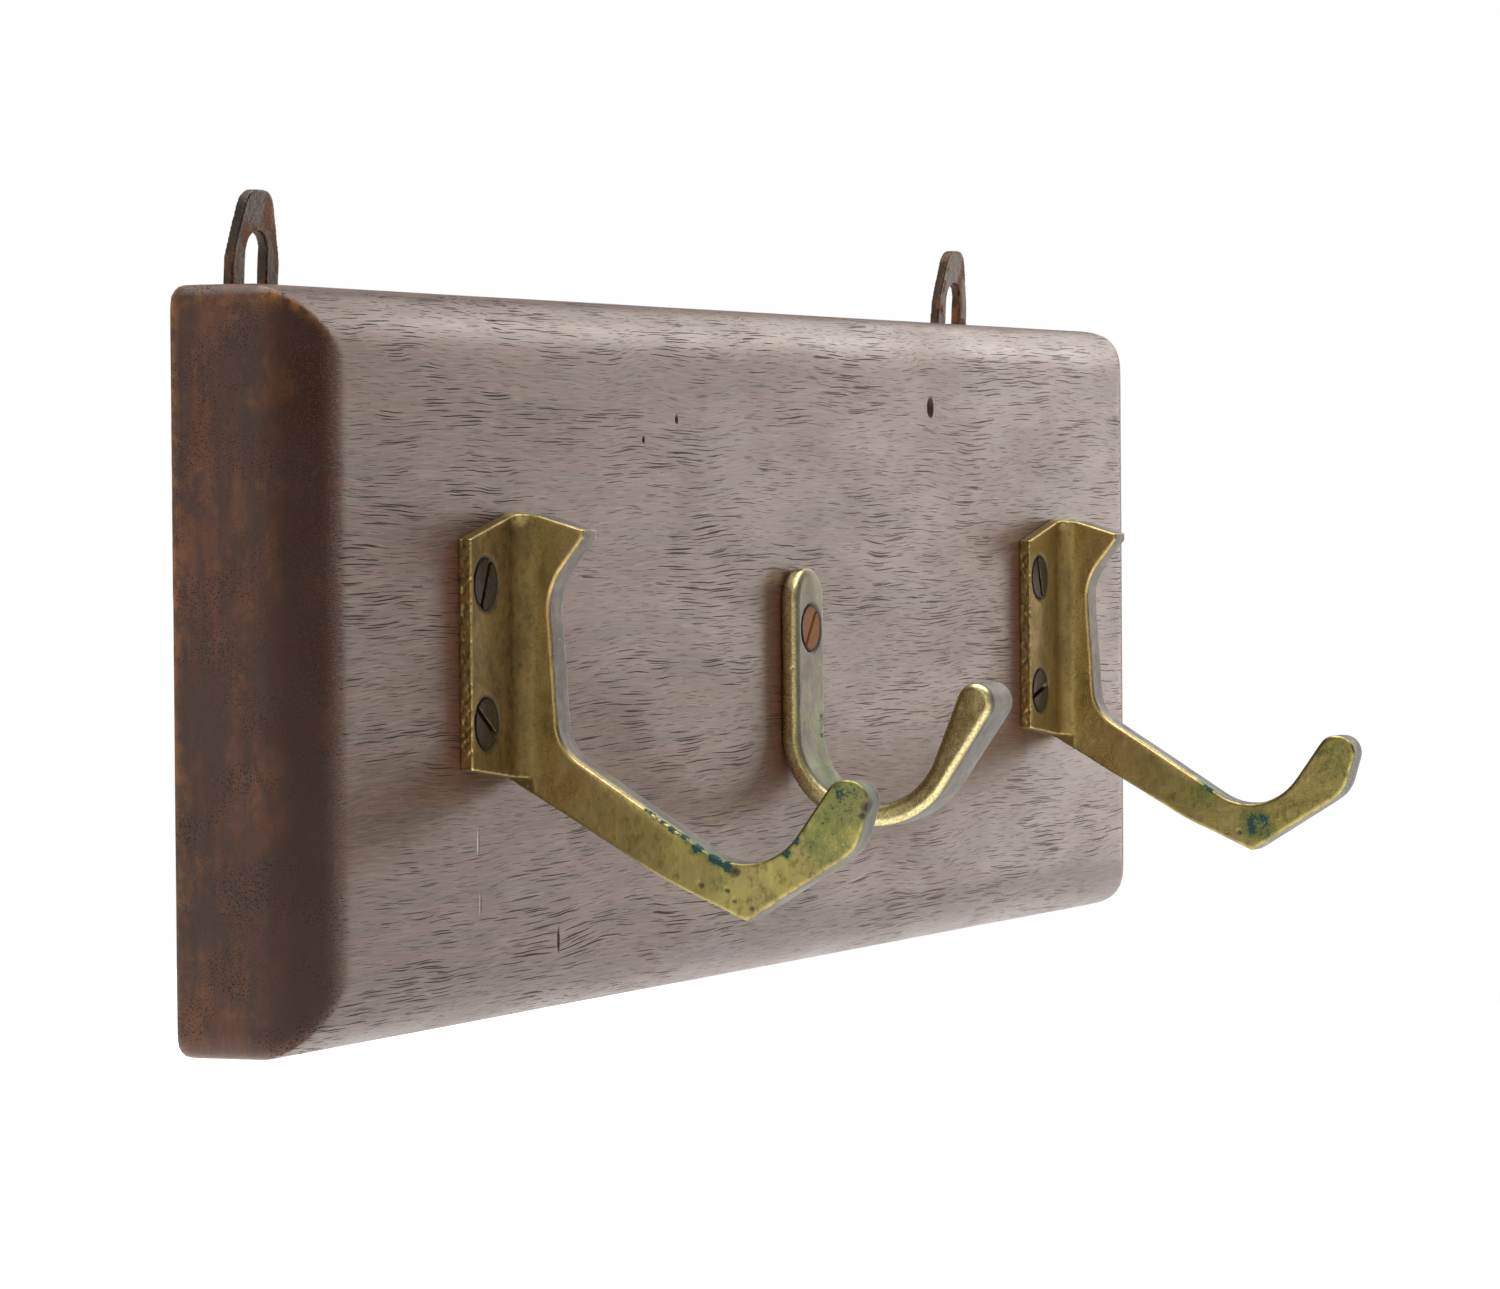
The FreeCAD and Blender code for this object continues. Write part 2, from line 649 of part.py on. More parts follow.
def make_hanger(label, place):
    """An iron plate with a rounded top and a slot that hangs on a wall screw."""
    body = new_body(label, place)
    outline = new_sketch(body, f"{label}_outline", "XZ_Plane")
    half = "hanger_width / 2"
    crown = "hanger_crown / 2"
    draw_polygon(outline, (
        (f"-{half}", "-hanger_bury"),
        (half, "-hanger_bury"),
        (half, "hanger_shoulder"),
        (crown, "hanger_rise"),
        (f"-{crown}", "hanger_rise"),
        (f"-{half}", "hanger_shoulder"),
    ))
    pad(body, outline, "hanger_thick")
    levels = (
        ("foot", "hanger_foot_round", "-hanger_bury"),
        ("side", "hanger_side_round", "hanger_shoulder"),
        ("crown", "hanger_crown_round", "hanger_rise"),
    )
    for name, radius, rise in levels:
        height = size(rise)
        fillet(body, f"{label}_{name}_round", radius,
               lambda edge, middle: is_straight_along(edge, Y_AXIS)
               and abs(middle.z - height) < NEAR, 2)

    eye = new_sketch(body, f"{label}_eye", "XZ_Plane")
    draw_polygon(eye, (
        ("-eye_width / 2", "-eye_bury"),
        ("eye_width / 2", "-eye_bury"),
        ("eye_width / 2", "eye_rise"),
        ("-eye_width / 2", "eye_rise"),
    ))
    pocket(body, eye, "hanger_thick", backward=True)
    half_eye = size("eye_width") / 2
    fillet(body, f"{label}_eye_round", "eye_width / 2 - mortise_gap",
           lambda edge, middle: is_straight_along(edge, Y_AXIS)
           and abs(abs(middle.x) - half_eye) < NEAR, 4)
    centres = [("0", rise) for rise in HANGER_SCREW_RISES.values()]
    screw_holes(body, f"{label}_screws", "0", centres, "small", backward=True)
    return body


# --- screws ------------------------------------------------------------------------

def make_screw(label, place, turn, kind, facing):
    """A countersunk slotted wood screw; facing is 1 when its head looks along -Y."""
    body = new_body(label, place, turn)
    profile = new_sketch(body, f"{label}_profile", "XY_Plane")
    head = f"{kind}_head / 2"
    shank = f"{kind}_shank / 2"
    rim = f"{kind}_rim"
    seat = f"{kind}_rim + {kind}_head / 2 - {kind}_shank / 2"
    draw_polygon(profile, (
        ("0", "0"),
        (head, "0"),
        (head, f"{facing} * {rim}"),
        (shank, f"{facing} * ({seat})"),
        (shank, f"{facing} * ({kind}_length - {kind}_point)"),
        ("0", f"{facing} * {kind}_length"),
    ))
    turned = body.newObject("PartDesign::Revolution", f"{label}_turned")
    turned.Profile = profile
    turned.ReferenceAxis = (profile, ["V_Axis"])
    turned.Angle = 360.0
    doc.recompute()

    slot_name = "slot" if kind == "screw" else "small_slot"
    slot = new_sketch(body, f"{label}_slot", "XZ_Plane")
    half = f"{slot_name}_width / 2"
    reach = f"{kind}_head"
    draw_polygon(slot, (
        (f"-{half}", f"-{reach}"),
        (half, f"-{reach}"),
        (half, reach),
        (f"-{half}", reach),
    ))
    pocket(body, slot, f"{slot_name}_depth", backward=facing < 0)
    return body


def make_screws():
    bodies = []
    for label, place, turn in front_screw_places():
        bodies.append(make_screw(label, place, turn, "screw", 1))
    for label, place in back_screw_places():
        bodies.append(make_screw(label, place, "0", "small", -1))
    return bodies


# --- the whole rail ----------------------------------------------------------------

def check_document(bodies):
    """Stop if any object failed to recompute or any piece isn't one good solid."""
    for item in doc.Objects:
        if "Invalid" in item.State or "Error" in item.State:
            raise RuntimeError(f"{item.Name} did not recompute: {item.State}")
    for body in bodies:
        if body.Shape.isNull() or not body.Shape.isValid():
            raise RuntimeError(f"{body.Label} has no valid shape")
        if len(body.Shape.Solids) != 1:
            raise RuntimeError(f"{body.Label} is {len(body.Shape.Solids)} solids")


def main():
    bodies = [make_board()]
    bodies += [make_angle_hook(label, place) for label, place in HOOKS.items()]
    bodies.append(make_centre_hook())
    bodies += [make_hanger(label, place) for label, place in HANGERS.items()]
    bodies += make_screws()
    doc.recompute()
    check_document(bodies)
    os.makedirs("parts", exist_ok=True)
    for body in bodies:
        body.Shape.exportStep(os.path.join("parts", f"{body.Label}.step"))
        print(f"{body.Label}: {body.Shape.Volume:.1f} mm3")


main()
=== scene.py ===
import math

import bmesh
import bpy
import numpy as np
from bpy.props import FloatProperty, FloatVectorProperty, PointerProperty
from mathutils import Matrix, Vector, noise
from mathutils.bvhtree import BVHTree


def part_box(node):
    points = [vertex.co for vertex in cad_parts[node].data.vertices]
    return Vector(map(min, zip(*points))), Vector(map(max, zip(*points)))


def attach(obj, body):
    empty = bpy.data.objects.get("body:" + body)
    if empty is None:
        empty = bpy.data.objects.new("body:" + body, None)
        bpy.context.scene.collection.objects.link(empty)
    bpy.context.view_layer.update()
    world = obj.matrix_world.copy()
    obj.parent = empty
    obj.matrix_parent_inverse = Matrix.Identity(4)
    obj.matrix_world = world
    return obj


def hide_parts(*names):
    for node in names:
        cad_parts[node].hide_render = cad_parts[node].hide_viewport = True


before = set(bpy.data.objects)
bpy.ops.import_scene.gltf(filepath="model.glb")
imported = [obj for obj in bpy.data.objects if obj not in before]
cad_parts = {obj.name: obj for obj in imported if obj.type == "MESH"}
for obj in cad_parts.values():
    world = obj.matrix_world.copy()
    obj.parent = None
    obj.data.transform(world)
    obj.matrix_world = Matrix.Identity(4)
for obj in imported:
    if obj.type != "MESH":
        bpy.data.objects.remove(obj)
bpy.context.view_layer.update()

bl_info = {
    "name": "Wall Coat Rail",
    "version": (1, 0, 0),
    "blender": (4, 5, 0),
    "location": "3D View > Sidebar > Coat Rail",
    "description": "Finishes a wooden coat rail with brass hooks round its fixed frame",
    "category": "Object",
}

# Everything is in metres in the frame of the rail: +X along the board, -Y out of
# its front, +Z up, and the origin in the middle of the board's back.

MM = 0.001
BODY = "root"
BOARD_LOW, BOARD_HIGH = (Vector(corner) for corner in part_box("backboard"))
ANGLE_HOOKS = ("left_hook", "right_hook")
SCREWS_OF = {
    "left_hook": ("left_hook_upper_screw", "left_hook_lower_screw"),
    "right_hook": ("right_hook_upper_screw", "right_hook_lower_screw"),
    "centre_hook": ("centre_hook_screw",),
}
HANGERS = ("left_hanger_plate", "right_hanger_plate")
HANGER_SCREWS = ("left_hanger_upper_screw", "left_hanger_lower_screw",
                 "right_hanger_upper_screw", "right_hanger_lower_screw")

# Marks in the board's front, each as (across from the board's left end, up from its
# middle height, half width, half height, depth, strength). The strength runs from 0 to 1,
# and the rest are millimetres.
BOARD_MARKS = (
    (213.4, 35.8, 0.9, 1.2, 0.9, 1.0),
    (114.4, 33.2, 0.35, 0.5, 0.3, 0.8),
    (102.8, 30.2, 0.3, 0.4, 0.3, 0.8),
    (73.0, -39.2, 0.25, 1.4, 0.2, 0.7),
)
BOARD_SCRATCHES = (
    (48.0, -24.3, 0.2, 1.5, 0.1, 0.9),
    (48.5, -32.7, 0.2, 1.2, 0.1, 0.5),
)

# Places on a brass hook are millimetres across, out from the board and up from the hook's
# corner, which hook_corner gives. Each patch is (across, reach, rise, radius, strength).
VERDIGRIS = {
    "left_hook": (
        (14.7, 28.3, -26.2, 1.1, 0.95),
        (14.7, 30.6, -27.5, 1.0, 1.0),
        (14.7, 32.6, -28.9, 0.8, 0.9),
        (14.7, 42.4, -25.0, 0.9, 0.9),
        (14.7, 41.2, -26.8, 0.8, 0.85),
        (14.6, 37.5, -33.0, 2.2, 0.25),
        (14.6, 31.0, -30.0, 1.4, 0.35),
        (14.6, 49.6, -19.8, 3.6, 0.62),
        (14.6, 47.0, -24.5, 4.2, 0.50),
    ),
    "right_hook": (
        (14.6, 36.0, -31.6, 2.4, 0.85),
        (14.6, 38.2, -33.0, 1.6, 0.50),
        (14.6, 27.2, -26.4, 2.4, 0.50),
        (14.6, 50.0, -20.4, 3.6, 0.3),
    ),
    "centre_hook": (
        (5.4, 4.0, -15.0, 4.0, 0.7),
        (0.0, 3.6, -22.0, 4.0, 0.5),
        (-5.4, 3.0, -13.0, 3.0, 0.35),
    ),
}
DARK_SPOTS = {
    "left_hook": (
        (14.8, 33.6, -29.3, 0.55, 1.0),
        (15.0, 52.9, -20.4, 0.80, 1.0),
        (14.8, 52.2, -21.5, 0.45, 1.0),
        (15.4, 50.6, -17.3, 0.30, 0.9),
        (14.6, 28.6, -31.2, 0.3, 0.9),
        (14.6, 32.5, -31.9, 0.25, 0.9),
        (14.6, 36.0, -34.2, 0.3, 0.7),
        (14.6, 33.5, -33.3, 0.22, 0.8),
    ),
    "right_hook": (
        (14.6, 33.0, -33.0, 0.3, 0.8),
    ),
    "centre_hook": (
        (-5.2, 2.0, -6.0, 0.25, 0.7),
    ),
}
# The rubbed top corner of an angle hook, where its flange and web meet.
WORN_PEAK = ((14.2, 1.8, 18.9, 1.5, 1.0), (15.6, 2.5, 18.9, 1.0, 0.8))
# The two ends of an angle hook's upper near edge, as (across, reach, rise), and the
# reaches between which that edge is rubbed bright with a painted highlight, or green with salts.
ARM_EDGE = ((14.9, 9.0, -14.0), (14.9, 35.5, -30.2))
EDGE_RUB_AND_HIGHLIGHT = (7.0, 25.0)
EDGE_STAIN = {"left_hook": (18.0, 32.5), "right_hook": (24.0, 28.0)}
# How strong each hook's brown tarnish is, and how far hands have polished its web.
TARNISH_SHARE = {"left_hook": 1.0, "right_hook": 0.7, "centre_hook": 0.7}
POLISH = {"left_hook": 0.55, "right_hook": 0.95}
# The dark ring round a screw head: where it starts, is full, thins and ends, from the
# screw's middle, and how far out from the board it can lie.
SCREW_RING = (3.25, 3.5, 3.75, 4.1)
RING_REACH = 3.2
# The strip of painted shade left of each hook: its width, and its bottom and top from the corner.
HOOK_SHADE_STRIPS = {
    "left_hook": (10.0, -17.0, 15.0),
    "right_hook": (9.0, -17.0, 15.0),
    "centre_hook": (8.0, -22.0, 9.0),
}

PORE_DIRT = (0.016, 0.007, 0.003, 1.0)
BARE_SCRATCH = (0.62, 0.55, 0.48, 1.0)
PIT_DIRT = (0.03, 0.02, 0.012, 1.0)
PALE_DUST = (0.8, 0.75, 0.6, 1.0)
RUBBED_IRON = (0.42, 0.32, 0.18, 1.0)
HOLLOW_DARK = (0.015, 0.012, 0.010, 1.0)
WHITE = (1.0, 1.0, 1.0, 1.0)

# Each light as (where it hangs, what it points at, width, height, colour), in metres.
LIGHTS = {
    "window": ((1.39, -0.45, 0.1), (0.0, -0.02, 0.0), 0.6, 1.5, (1.0, 0.94, 0.87)),
    "high_window": ((1.35, -0.05, 0.62), (0.0, -0.01, 0.0), 0.7, 0.5, (1.0, 0.96, 0.90)),
    "overhead": ((0.0, -0.2, 1.2), (0.0, -0.2, 0.0), 1.6, 1.6, (1.0, 1.0, 1.0)),
}


# --- settings ---------------------------------------------------------------------------

class BoardSettings(bpy.types.PropertyGroup):
    """Sizes and colours of the board's finish."""

    cell: FloatProperty(name="Mesh cell", description="Cell of the fine mesh",
                        default=0.8 * MM, unit="LENGTH")
    wood: FloatVectorProperty(name="Wood", description="Reddish heartwood", subtype="COLOR",
                              size=4, default=(0.105, 0.040, 0.019, 1.0))
    dark_wood: FloatVectorProperty(name="Dark wood", description="Dark streaks and stain", subtype="COLOR",
                                   size=4, default=(0.042, 0.014, 0.007, 1.0))
    # Painted shade: this dark red darkens the rounded edges between the ends and the front.
    roundover_shade: FloatVectorProperty(name="Stained wood", description="Dark red stain of the rounded ends",
                                      subtype="COLOR", size=4, default=(0.034, 0.008, 0.002, 1.0))
    red_wood: FloatVectorProperty(name="Red wood", description="Redder wood of the ends", subtype="COLOR",
                                  size=4, default=(0.105, 0.030, 0.009, 1.0))
    worn_wood: FloatVectorProperty(name="Worn wood", description="Bare wood on worn edges", subtype="COLOR",
                                   size=4, default=(0.27, 0.11, 0.024, 1.0))
    # Faded varnish, and partly a painted sheen of the pale room on the board's faces.
    haze_and_sheen: FloatVectorProperty(name="Haze", description="Dull bloom on the varnish", subtype="COLOR",
                              size=4, default=(0.20, 0.155, 0.13, 1.0))
    pore_length: FloatProperty(name="Pore length", description="Spacing of the open pores along the grain",
                               default=16.0 * MM, unit="LENGTH")
    pore_width: FloatProperty(name="Pore width", description="Spacing of the open pores across the grain",
                              default=0.29 * MM, unit="LENGTH")


class MetalSettings(bpy.types.PropertyGroup):
    """Sizes and colours of the brass and iron."""

    hook_cell: FloatProperty(name="Hook cell", description="Cell of a hook's fine mesh",
                             default=0.25 * MM, unit="LENGTH")
    screw_cell: FloatProperty(name="Screw cell", description="Cell of a screw's fine mesh",
                              default=0.12 * MM, unit="LENGTH")
    brass: FloatVectorProperty(name="Brass", description="Aged brass", subtype="COLOR",
                               size=4, default=(0.62, 0.42, 0.15, 1.0))
    # Also a painted highlight along an angle hook's upper arm edge.
    bright_brass: FloatVectorProperty(name="Bright brass", description="Brass rubbed bright on its edges",
                                      subtype="COLOR", size=4, default=(0.76, 0.59, 0.23, 1.0))
    # Also a painted highlight: it covers every face of the strap hook that doesn't look forward.
    pale_brass_and_highlight: FloatVectorProperty(name="Pale brass", description="Strap hook's paler brass, rubbed bright",
                                    subtype="COLOR", size=4, default=(0.86, 0.76, 0.40, 1.0))
    patina: FloatVectorProperty(name="Patina", description="Brown tarnish in the corners", subtype="COLOR",
                                size=4, default=(0.13, 0.085, 0.035, 1.0))
    green_brass: FloatVectorProperty(name="Green brass", description="Greener brass along the arms",
                                     subtype="COLOR", size=4, default=(0.39, 0.34, 0.108, 1.0))
    olive_brass: FloatVectorProperty(name="Olive brass", description="Browner brass in clouds",
                                     subtype="COLOR", size=4, default=(0.38, 0.29, 0.125, 1.0))
    # Painted reflection: this grey stands in for the pale room seen in a hook's outward faces.
    reflection_grey: FloatVectorProperty(name="Dull brass", description="Grey bloom on the outer faces",
                                    subtype="COLOR", size=4, default=(0.082, 0.080, 0.086, 1.0))
    green_stain: FloatVectorProperty(name="Green stain", description="Thin green stain", subtype="COLOR",
                                     size=4, default=(0.155, 0.20, 0.065, 1.0))
    verdigris: FloatVectorProperty(name="Verdigris", description="Thick green copper salts", subtype="COLOR",
                                   size=4, default=(0.008, 0.045, 0.042, 1.0))
    plate_lean: FloatProperty(name="Plate lean", description="How far a hanger plate's top is bent forward",
                              default=1.0 * MM, unit="LENGTH")
    iron: FloatVectorProperty(name="Iron", description="Dark old iron", subtype="COLOR",
                              size=4, default=(0.050, 0.040, 0.031, 1.0))
    plate_iron: FloatVectorProperty(name="Plate iron", description="Browner iron of the hanger plates",
                                    subtype="COLOR", size=4, default=(0.070, 0.052, 0.038, 1.0))
    screw_steel: FloatVectorProperty(name="Screw steel", description="Dark steel of most of the screws",
                                     subtype="COLOR", size=4, default=(0.060, 0.040, 0.024, 1.0))
    rusty_steel: FloatVectorProperty(name="Rusty steel", description="Orange steel of the centre screw",
                                     subtype="COLOR", size=4, default=(0.30, 0.12, 0.035, 1.0))
    rust: FloatVectorProperty(name="Rust", description="Rust on iron and steel", subtype="COLOR",
                              size=4, default=(0.24, 0.085, 0.022, 1.0))


class StageSettings(bpy.types.PropertyGroup):
    """Camera, floor and lights."""

    camera_place: FloatVectorProperty(name="Camera place", description="Where the camera stands",
                                      subtype="TRANSLATION", unit="LENGTH", size=3,
                                      default=(-0.8448, -0.3811, 0.0233))
    heading: FloatProperty(name="Heading", description="Camera's turn from +X towards +Y",
                           subtype="ANGLE", default=math.radians(23.475))
    dip: FloatProperty(name="Dip", description="Camera's tilt below level", subtype="ANGLE",
                       default=math.radians(1.478))
    roll: FloatProperty(name="Roll", description="Camera's roll about its view", subtype="ANGLE",
                        default=math.radians(-0.448))
    lens: FloatProperty(name="Lens", description="Focal length in millimetres", default=146.2)
    floor_glow: FloatProperty(name="Floor glow", description="Light added to the floor as it is seen",
                              default=0.75)
    floor_gap: FloatProperty(name="Floor gap", description="Floor below the board's lower edge",
                             default=0.10, unit="LENGTH")
    floor_half: FloatProperty(name="Floor half width", description="From the floor's middle to its sides",
                              default=1.1, unit="LENGTH")
    window: FloatProperty(name="Window", description="Watts of the tall light far to the right", default=8.0)
    high_window: FloatProperty(name="High window", description="Watts of the light high to the right",
                               default=2.0)
    overhead: FloatProperty(name="Overhead", description="Watts of the light straight above", default=22.0)
    room_level: FloatProperty(name="Room", description="Brightness of the surroundings behind the board",
                              default=0.48)
    left_gain: FloatProperty(name="Left gain", description="How much brighter they are past the left end",
                             default=1.7)
    front_level: FloatProperty(name="Front", description="Brightness of the surroundings in front",
                               default=0.06)


def settings():
    """The sizes and colours of the board, of the metal and of the stage."""
    scene = bpy.context.scene
    return scene.rail_board, scene.rail_metal, scene.rail_stage


# --- places -----------------------------------------------------------------------------

def middle_of(node):
    """The middle of a CAD piece's box."""
    low, high = (Vector(end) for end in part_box(node))
    return 0.5 * (low + high)


def hook_corner(node):
    """Where places on a hook are measured from: on the board's front, level with its screws.

    It is at the left edge of an angle hook, and in the middle of the centre hook.
    """
    screws = [middle_of(screw) for screw in SCREWS_OF[node]]
    middle = sum(screws, Vector()) / len(screws)
    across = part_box(node)[0][0] if node in ANGLE_HOOKS else middle.x
    return Vector((across, BOARD_LOW.y, middle.z))


def smooth_step(values, start, end):
    """From 0 at start to 1 at end, softly; start may be the larger, and then it falls."""
    share = np.clip((values - start) / (end - start), 0.0, 1.0)
    return share * share * (3.0 - 2.0 * share)


# --- fine meshes ------------------------------------------------------------------------

class Skin:
    """The fine mesh of one piece while it is worked on."""

    def __init__(self, mesh):
        self.mesh = mesh
        count = len(mesh.vertices)
        self.points = np.empty(count * 3)
        mesh.vertices.foreach_get("co", self.points)
        self.points = self.points.reshape(-1, 3)
        self.normals = np.empty(count * 3)
        mesh.vertices.foreach_get("normal", self.normals)
        self.normals = self.normals.reshape(-1, 3)
        pairs = np.empty(len(mesh.edges) * 2, dtype=np.int64)
        mesh.edges.foreach_get("vertices", pairs)
        pairs = pairs.reshape(-1, 2)
        self.here = np.concatenate((pairs[:, 0], pairs[:, 1]))
        self.there = np.concatenate((pairs[:, 1], pairs[:, 0]))
        self.links = np.bincount(self.here, minlength=count)

    def spread(self, values, times):
        """Average a value with its neighbours, over and over."""
        for _ in range(times):
            total = np.bincount(self.here, weights=values[self.there], minlength=len(values))
            values = 0.5 * values + 0.5 * total / self.links
        return values

    def bulge(self):
        """Above 0 on a convex edge, below 0 in a hollow, near 0 on a flat."""
        step = self.points[self.here] - self.points[self.there]
        step /= np.maximum(np.linalg.norm(step, axis=1, keepdims=True), 1e-9)
        lean = np.einsum("ij,ij->i", step, self.normals[self.here])
        return np.bincount(self.here, weights=lean, minlength=len(self.points)) / self.links

    def rough(self, size, seed, octaves=3):
        """Smooth noise from -1 to 1 at each point; size is the width of its lumps."""
        shift = Vector((seed * 3.7, seed * 1.9, seed * 5.3))
        return np.array([noise.fractal(Vector(point) / size + shift, 1.0, 2.0, octaves)
                         for point in self.points])

    def push(self, amount):
        """Move every point along its normal."""
        self.points += self.normals * amount[:, None]
        self.mesh.vertices.foreach_set("co", self.points.ravel())
        self.mesh.update()

    def paint(self, name, values):
        """Store a value at each point under a name that a material reads."""
        layer = self.mesh.attributes.new(name, "FLOAT", "POINT")
        layer.data.foreach_set("value", np.asarray(values, dtype=np.float32))


class HookSkin(Skin):
    """The fine mesh of one hook, with its points measured from the hook's corner in mm."""

    def __init__(self, mesh, corner):
        super().__init__(mesh)
        self.places = (self.points - np.array(corner)) * np.array((1.0, -1.0, 1.0)) / MM
        self.across, self.reach, self.rise = self.places.T
        self.sideways = np.abs(self.normals[:, 0])

    def patches(self, listed):
        """The strength of the nearest listed patch at each point, fading past its radius."""
        total = np.zeros(len(self.points))
        for across, reach, rise, radius, strength in listed:
            away = np.linalg.norm(self.places - (across, reach, rise), axis=1) / radius
            total = np.maximum(total, strength * np.clip(1.6 - away, 0.0, 1.0))
        return total

    def arm_edge(self, stretch):
        """0 to 1 along the arm's upper near edge, between two reaches."""
        low, high = stretch
        start, end = np.array(ARM_EDGE)
        run = end - start
        share = np.clip((self.places - start) @ run / (run @ run), 0.0, 1.0)
        away = np.linalg.norm(self.places - start - share[:, None] * run, axis=1)
        along = smooth_step(self.reach, low, low + 4.0) * smooth_step(self.reach, high + 1.5, high)
        return smooth_step(away, 1.7, 0.4) * along

    def screw_rings(self, screws):
        """0 to 1 in the dark ring round each screw head, on the faces that look forward."""
        start, full, thin, end = SCREW_RING
        total = np.zeros(len(self.points))
        for screw in screws:
            middle = middle_of(screw)
            away = np.hypot(self.points[:, 0] - middle.x, self.points[:, 2] - middle.z) / MM
            ring = smooth_step(away, start, full) * smooth_step(away, end, thin)
            total = np.maximum(total, ring * (self.reach < RING_REACH) * (self.normals[:, 1] < -0.2))
        return total


def finely_meshed(node, cell, name):
    """A new object: the CAD piece in small even cells that lie on its own surface."""
    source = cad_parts[node]
    rough_copy = bpy.data.objects.new(name, source.data.copy())
    rough_copy.matrix_world = source.matrix_world
    bpy.context.scene.collection.objects.link(rough_copy)
    remesh = rough_copy.modifiers.new("Cells", "REMESH")
    remesh.mode = "VOXEL"
    remesh.voxel_size = cell
    bpy.context.view_layer.update()
    graph = bpy.context.evaluated_depsgraph_get()
    mesh = bpy.data.meshes.new_from_object(rough_copy.evaluated_get(graph))
    mesh.transform(source.matrix_world)
    surface = source.data.copy()
    surface.transform(source.matrix_world)
    shell = bmesh.new()
    shell.from_mesh(surface)
    tree = BVHTree.FromBMesh(shell)
    shell.free()
    for vertex in mesh.vertices:
        place, _, _, _ = tree.find_nearest(vertex.co)
        if place is None:
            raise RuntimeError(f"{node} has no surface near its fine mesh")
        vertex.co = place
    mesh.update()
    mesh.materials.clear()
    mesh.name = name
    bpy.data.objects.remove(rough_copy)
    piece = bpy.data.objects.new(name, mesh)
    bpy.context.scene.collection.objects.link(piece)
    mesh.shade_smooth()
    return piece


def refine_round(mesh, middles, radius, cuts):
    """Cut the cells within radius of the given places into smaller ones."""
    work = bmesh.new()
    work.from_mesh(mesh)
    chosen = set()
    for middle in middles:
        chosen.update(edge for edge in work.edges
                      if all((vertex.co - middle).length < radius for vertex in edge.verts))
    bmesh.ops.subdivide_edges(work, edges=list(chosen), cuts=cuts, use_grid_fill=True)
    bmesh.ops.triangulate(work, faces=[face for face in work.faces if len(face.verts) > 4])
    work.to_mesh(mesh)
    work.free()
    mesh.update()
    mesh.shade_smooth()


def fit_piece(piece, node, material):
    """Put a finished piece in the place of its CAD node."""
    piece.data.materials.append(material)
    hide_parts(node)
    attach(piece, BODY)


# --- shader nodes -----------------------------------------------------------------------

class Bench:
    """Lays out the shader nodes of one material, or of the world."""

    def __init__(self, owner):
        self.owner = owner
        owner.use_nodes = True
        self.tree = owner.node_tree
        self.tree.nodes.clear()
        self.places = self.add("ShaderNodeTexCoord").outputs
        self.place = self.places["Object"]

    def feed(self, socket, value):
        """Link another node's output to a socket, or set a plain value on it."""
        if isinstance(value, bpy.types.NodeSocket):
            self.tree.links.new(value, socket)
        else:
            socket.default_value = value

    def add(self, kind, inputs=None, **words):
        """A new node; inputs are sockets by name or number, and words its own options."""
        made = self.tree.nodes.new(kind)
        for word, value in words.items():
            setattr(made, word, value)
        for name, value in (inputs or {}).items():
            self.feed(made.inputs[name], value)
        return made

    def parts(self, vector):
        """The X, Y and Z of a vector."""
        return self.add("ShaderNodeSeparateXYZ", {"Vector": vector}).outputs

    def scaled(self, size, place=None):
        """The place measured in lumps of the given size along X, Y and Z."""
        mapping = self.add("ShaderNodeMapping", {
            "Vector": place or self.place, "Scale": tuple(1.0 / length for length in size)})
        return mapping.outputs["Vector"]

    def lumps(self, size, detail=3.0, place=None, bend=0.0):
        """Cloudy noise round 0.5, with lumps of the given size."""
        made = self.add("ShaderNodeTexNoise", {
            "Vector": self.scaled(size, place), "Scale": 1.0, "Detail": detail,
            "Roughness": 0.55, "Distortion": bend})
        return made.outputs["Fac"]

    def cells(self, size, place=None):
        """How far each point is from the nearest scattered cell centre."""
        made = self.add("ShaderNodeTexVoronoi", {"Vector": self.scaled(size, place), "Scale": 1.0})
        return made.outputs["Distance"]

    def ramp(self, value, low, high, to_low=0.0, to_high=1.0):
        """Turn low to high into to_low to to_high, softly at both ends."""
        made = self.add("ShaderNodeMapRange", {
            "Value": value, "From Min": low, "From Max": high, "To Min": to_low, "To Max": to_high},
            interpolation_type="SMOOTHSTEP")
        return made.outputs["Result"]

    def maths(self, operation, first, second=0.0):
        return self.add("ShaderNodeMath", {0: first, 1: second}, operation=operation).outputs["Value"]

    def times(self, first, second):
        return self.maths("MULTIPLY", first, second)

    def plus(self, first, second):
        return self.maths("ADD", first, second)

    def most(self, first, second):
        return self.maths("MAXIMUM", first, second)

    def mixed(self, share, first, second):
        """The first colour where share is 0, and the second where it is 1."""
        made = self.add("ShaderNodeMix", {0: share, 6: first, 7: second}, data_type="RGBA")
        return made.outputs[2]

    def coat(self, colour, paint, mask, strength):
        """A colour with paint laid over it where the mask is 1, as strong as is given."""
        return self.mixed(self.times(mask, strength), colour, paint)

    def painted(self, name):
        return self.add("ShaderNodeAttribute", attribute_name=name).outputs["Fac"]

    def bump(self, height, depth, under=None):
        """A bumpy normal, over another one if it is given."""
        inputs = {"Height": height, "Distance": depth, "Strength": 1.0}
        if under is not None:
            inputs["Normal"] = under
        return self.add("ShaderNodeBump", inputs).outputs["Normal"]

    def shade(self, **inputs):
        """Finish the material with one Principled shader."""
        words = {name.replace("_", " "): value for name, value in inputs.items()}
        shader = self.add("ShaderNodeBsdfPrincipled", words)
        output = self.add("ShaderNodeOutputMaterial")
        self.tree.links.new(shader.outputs["BSDF"], output.inputs["Surface"])
        return self.owner


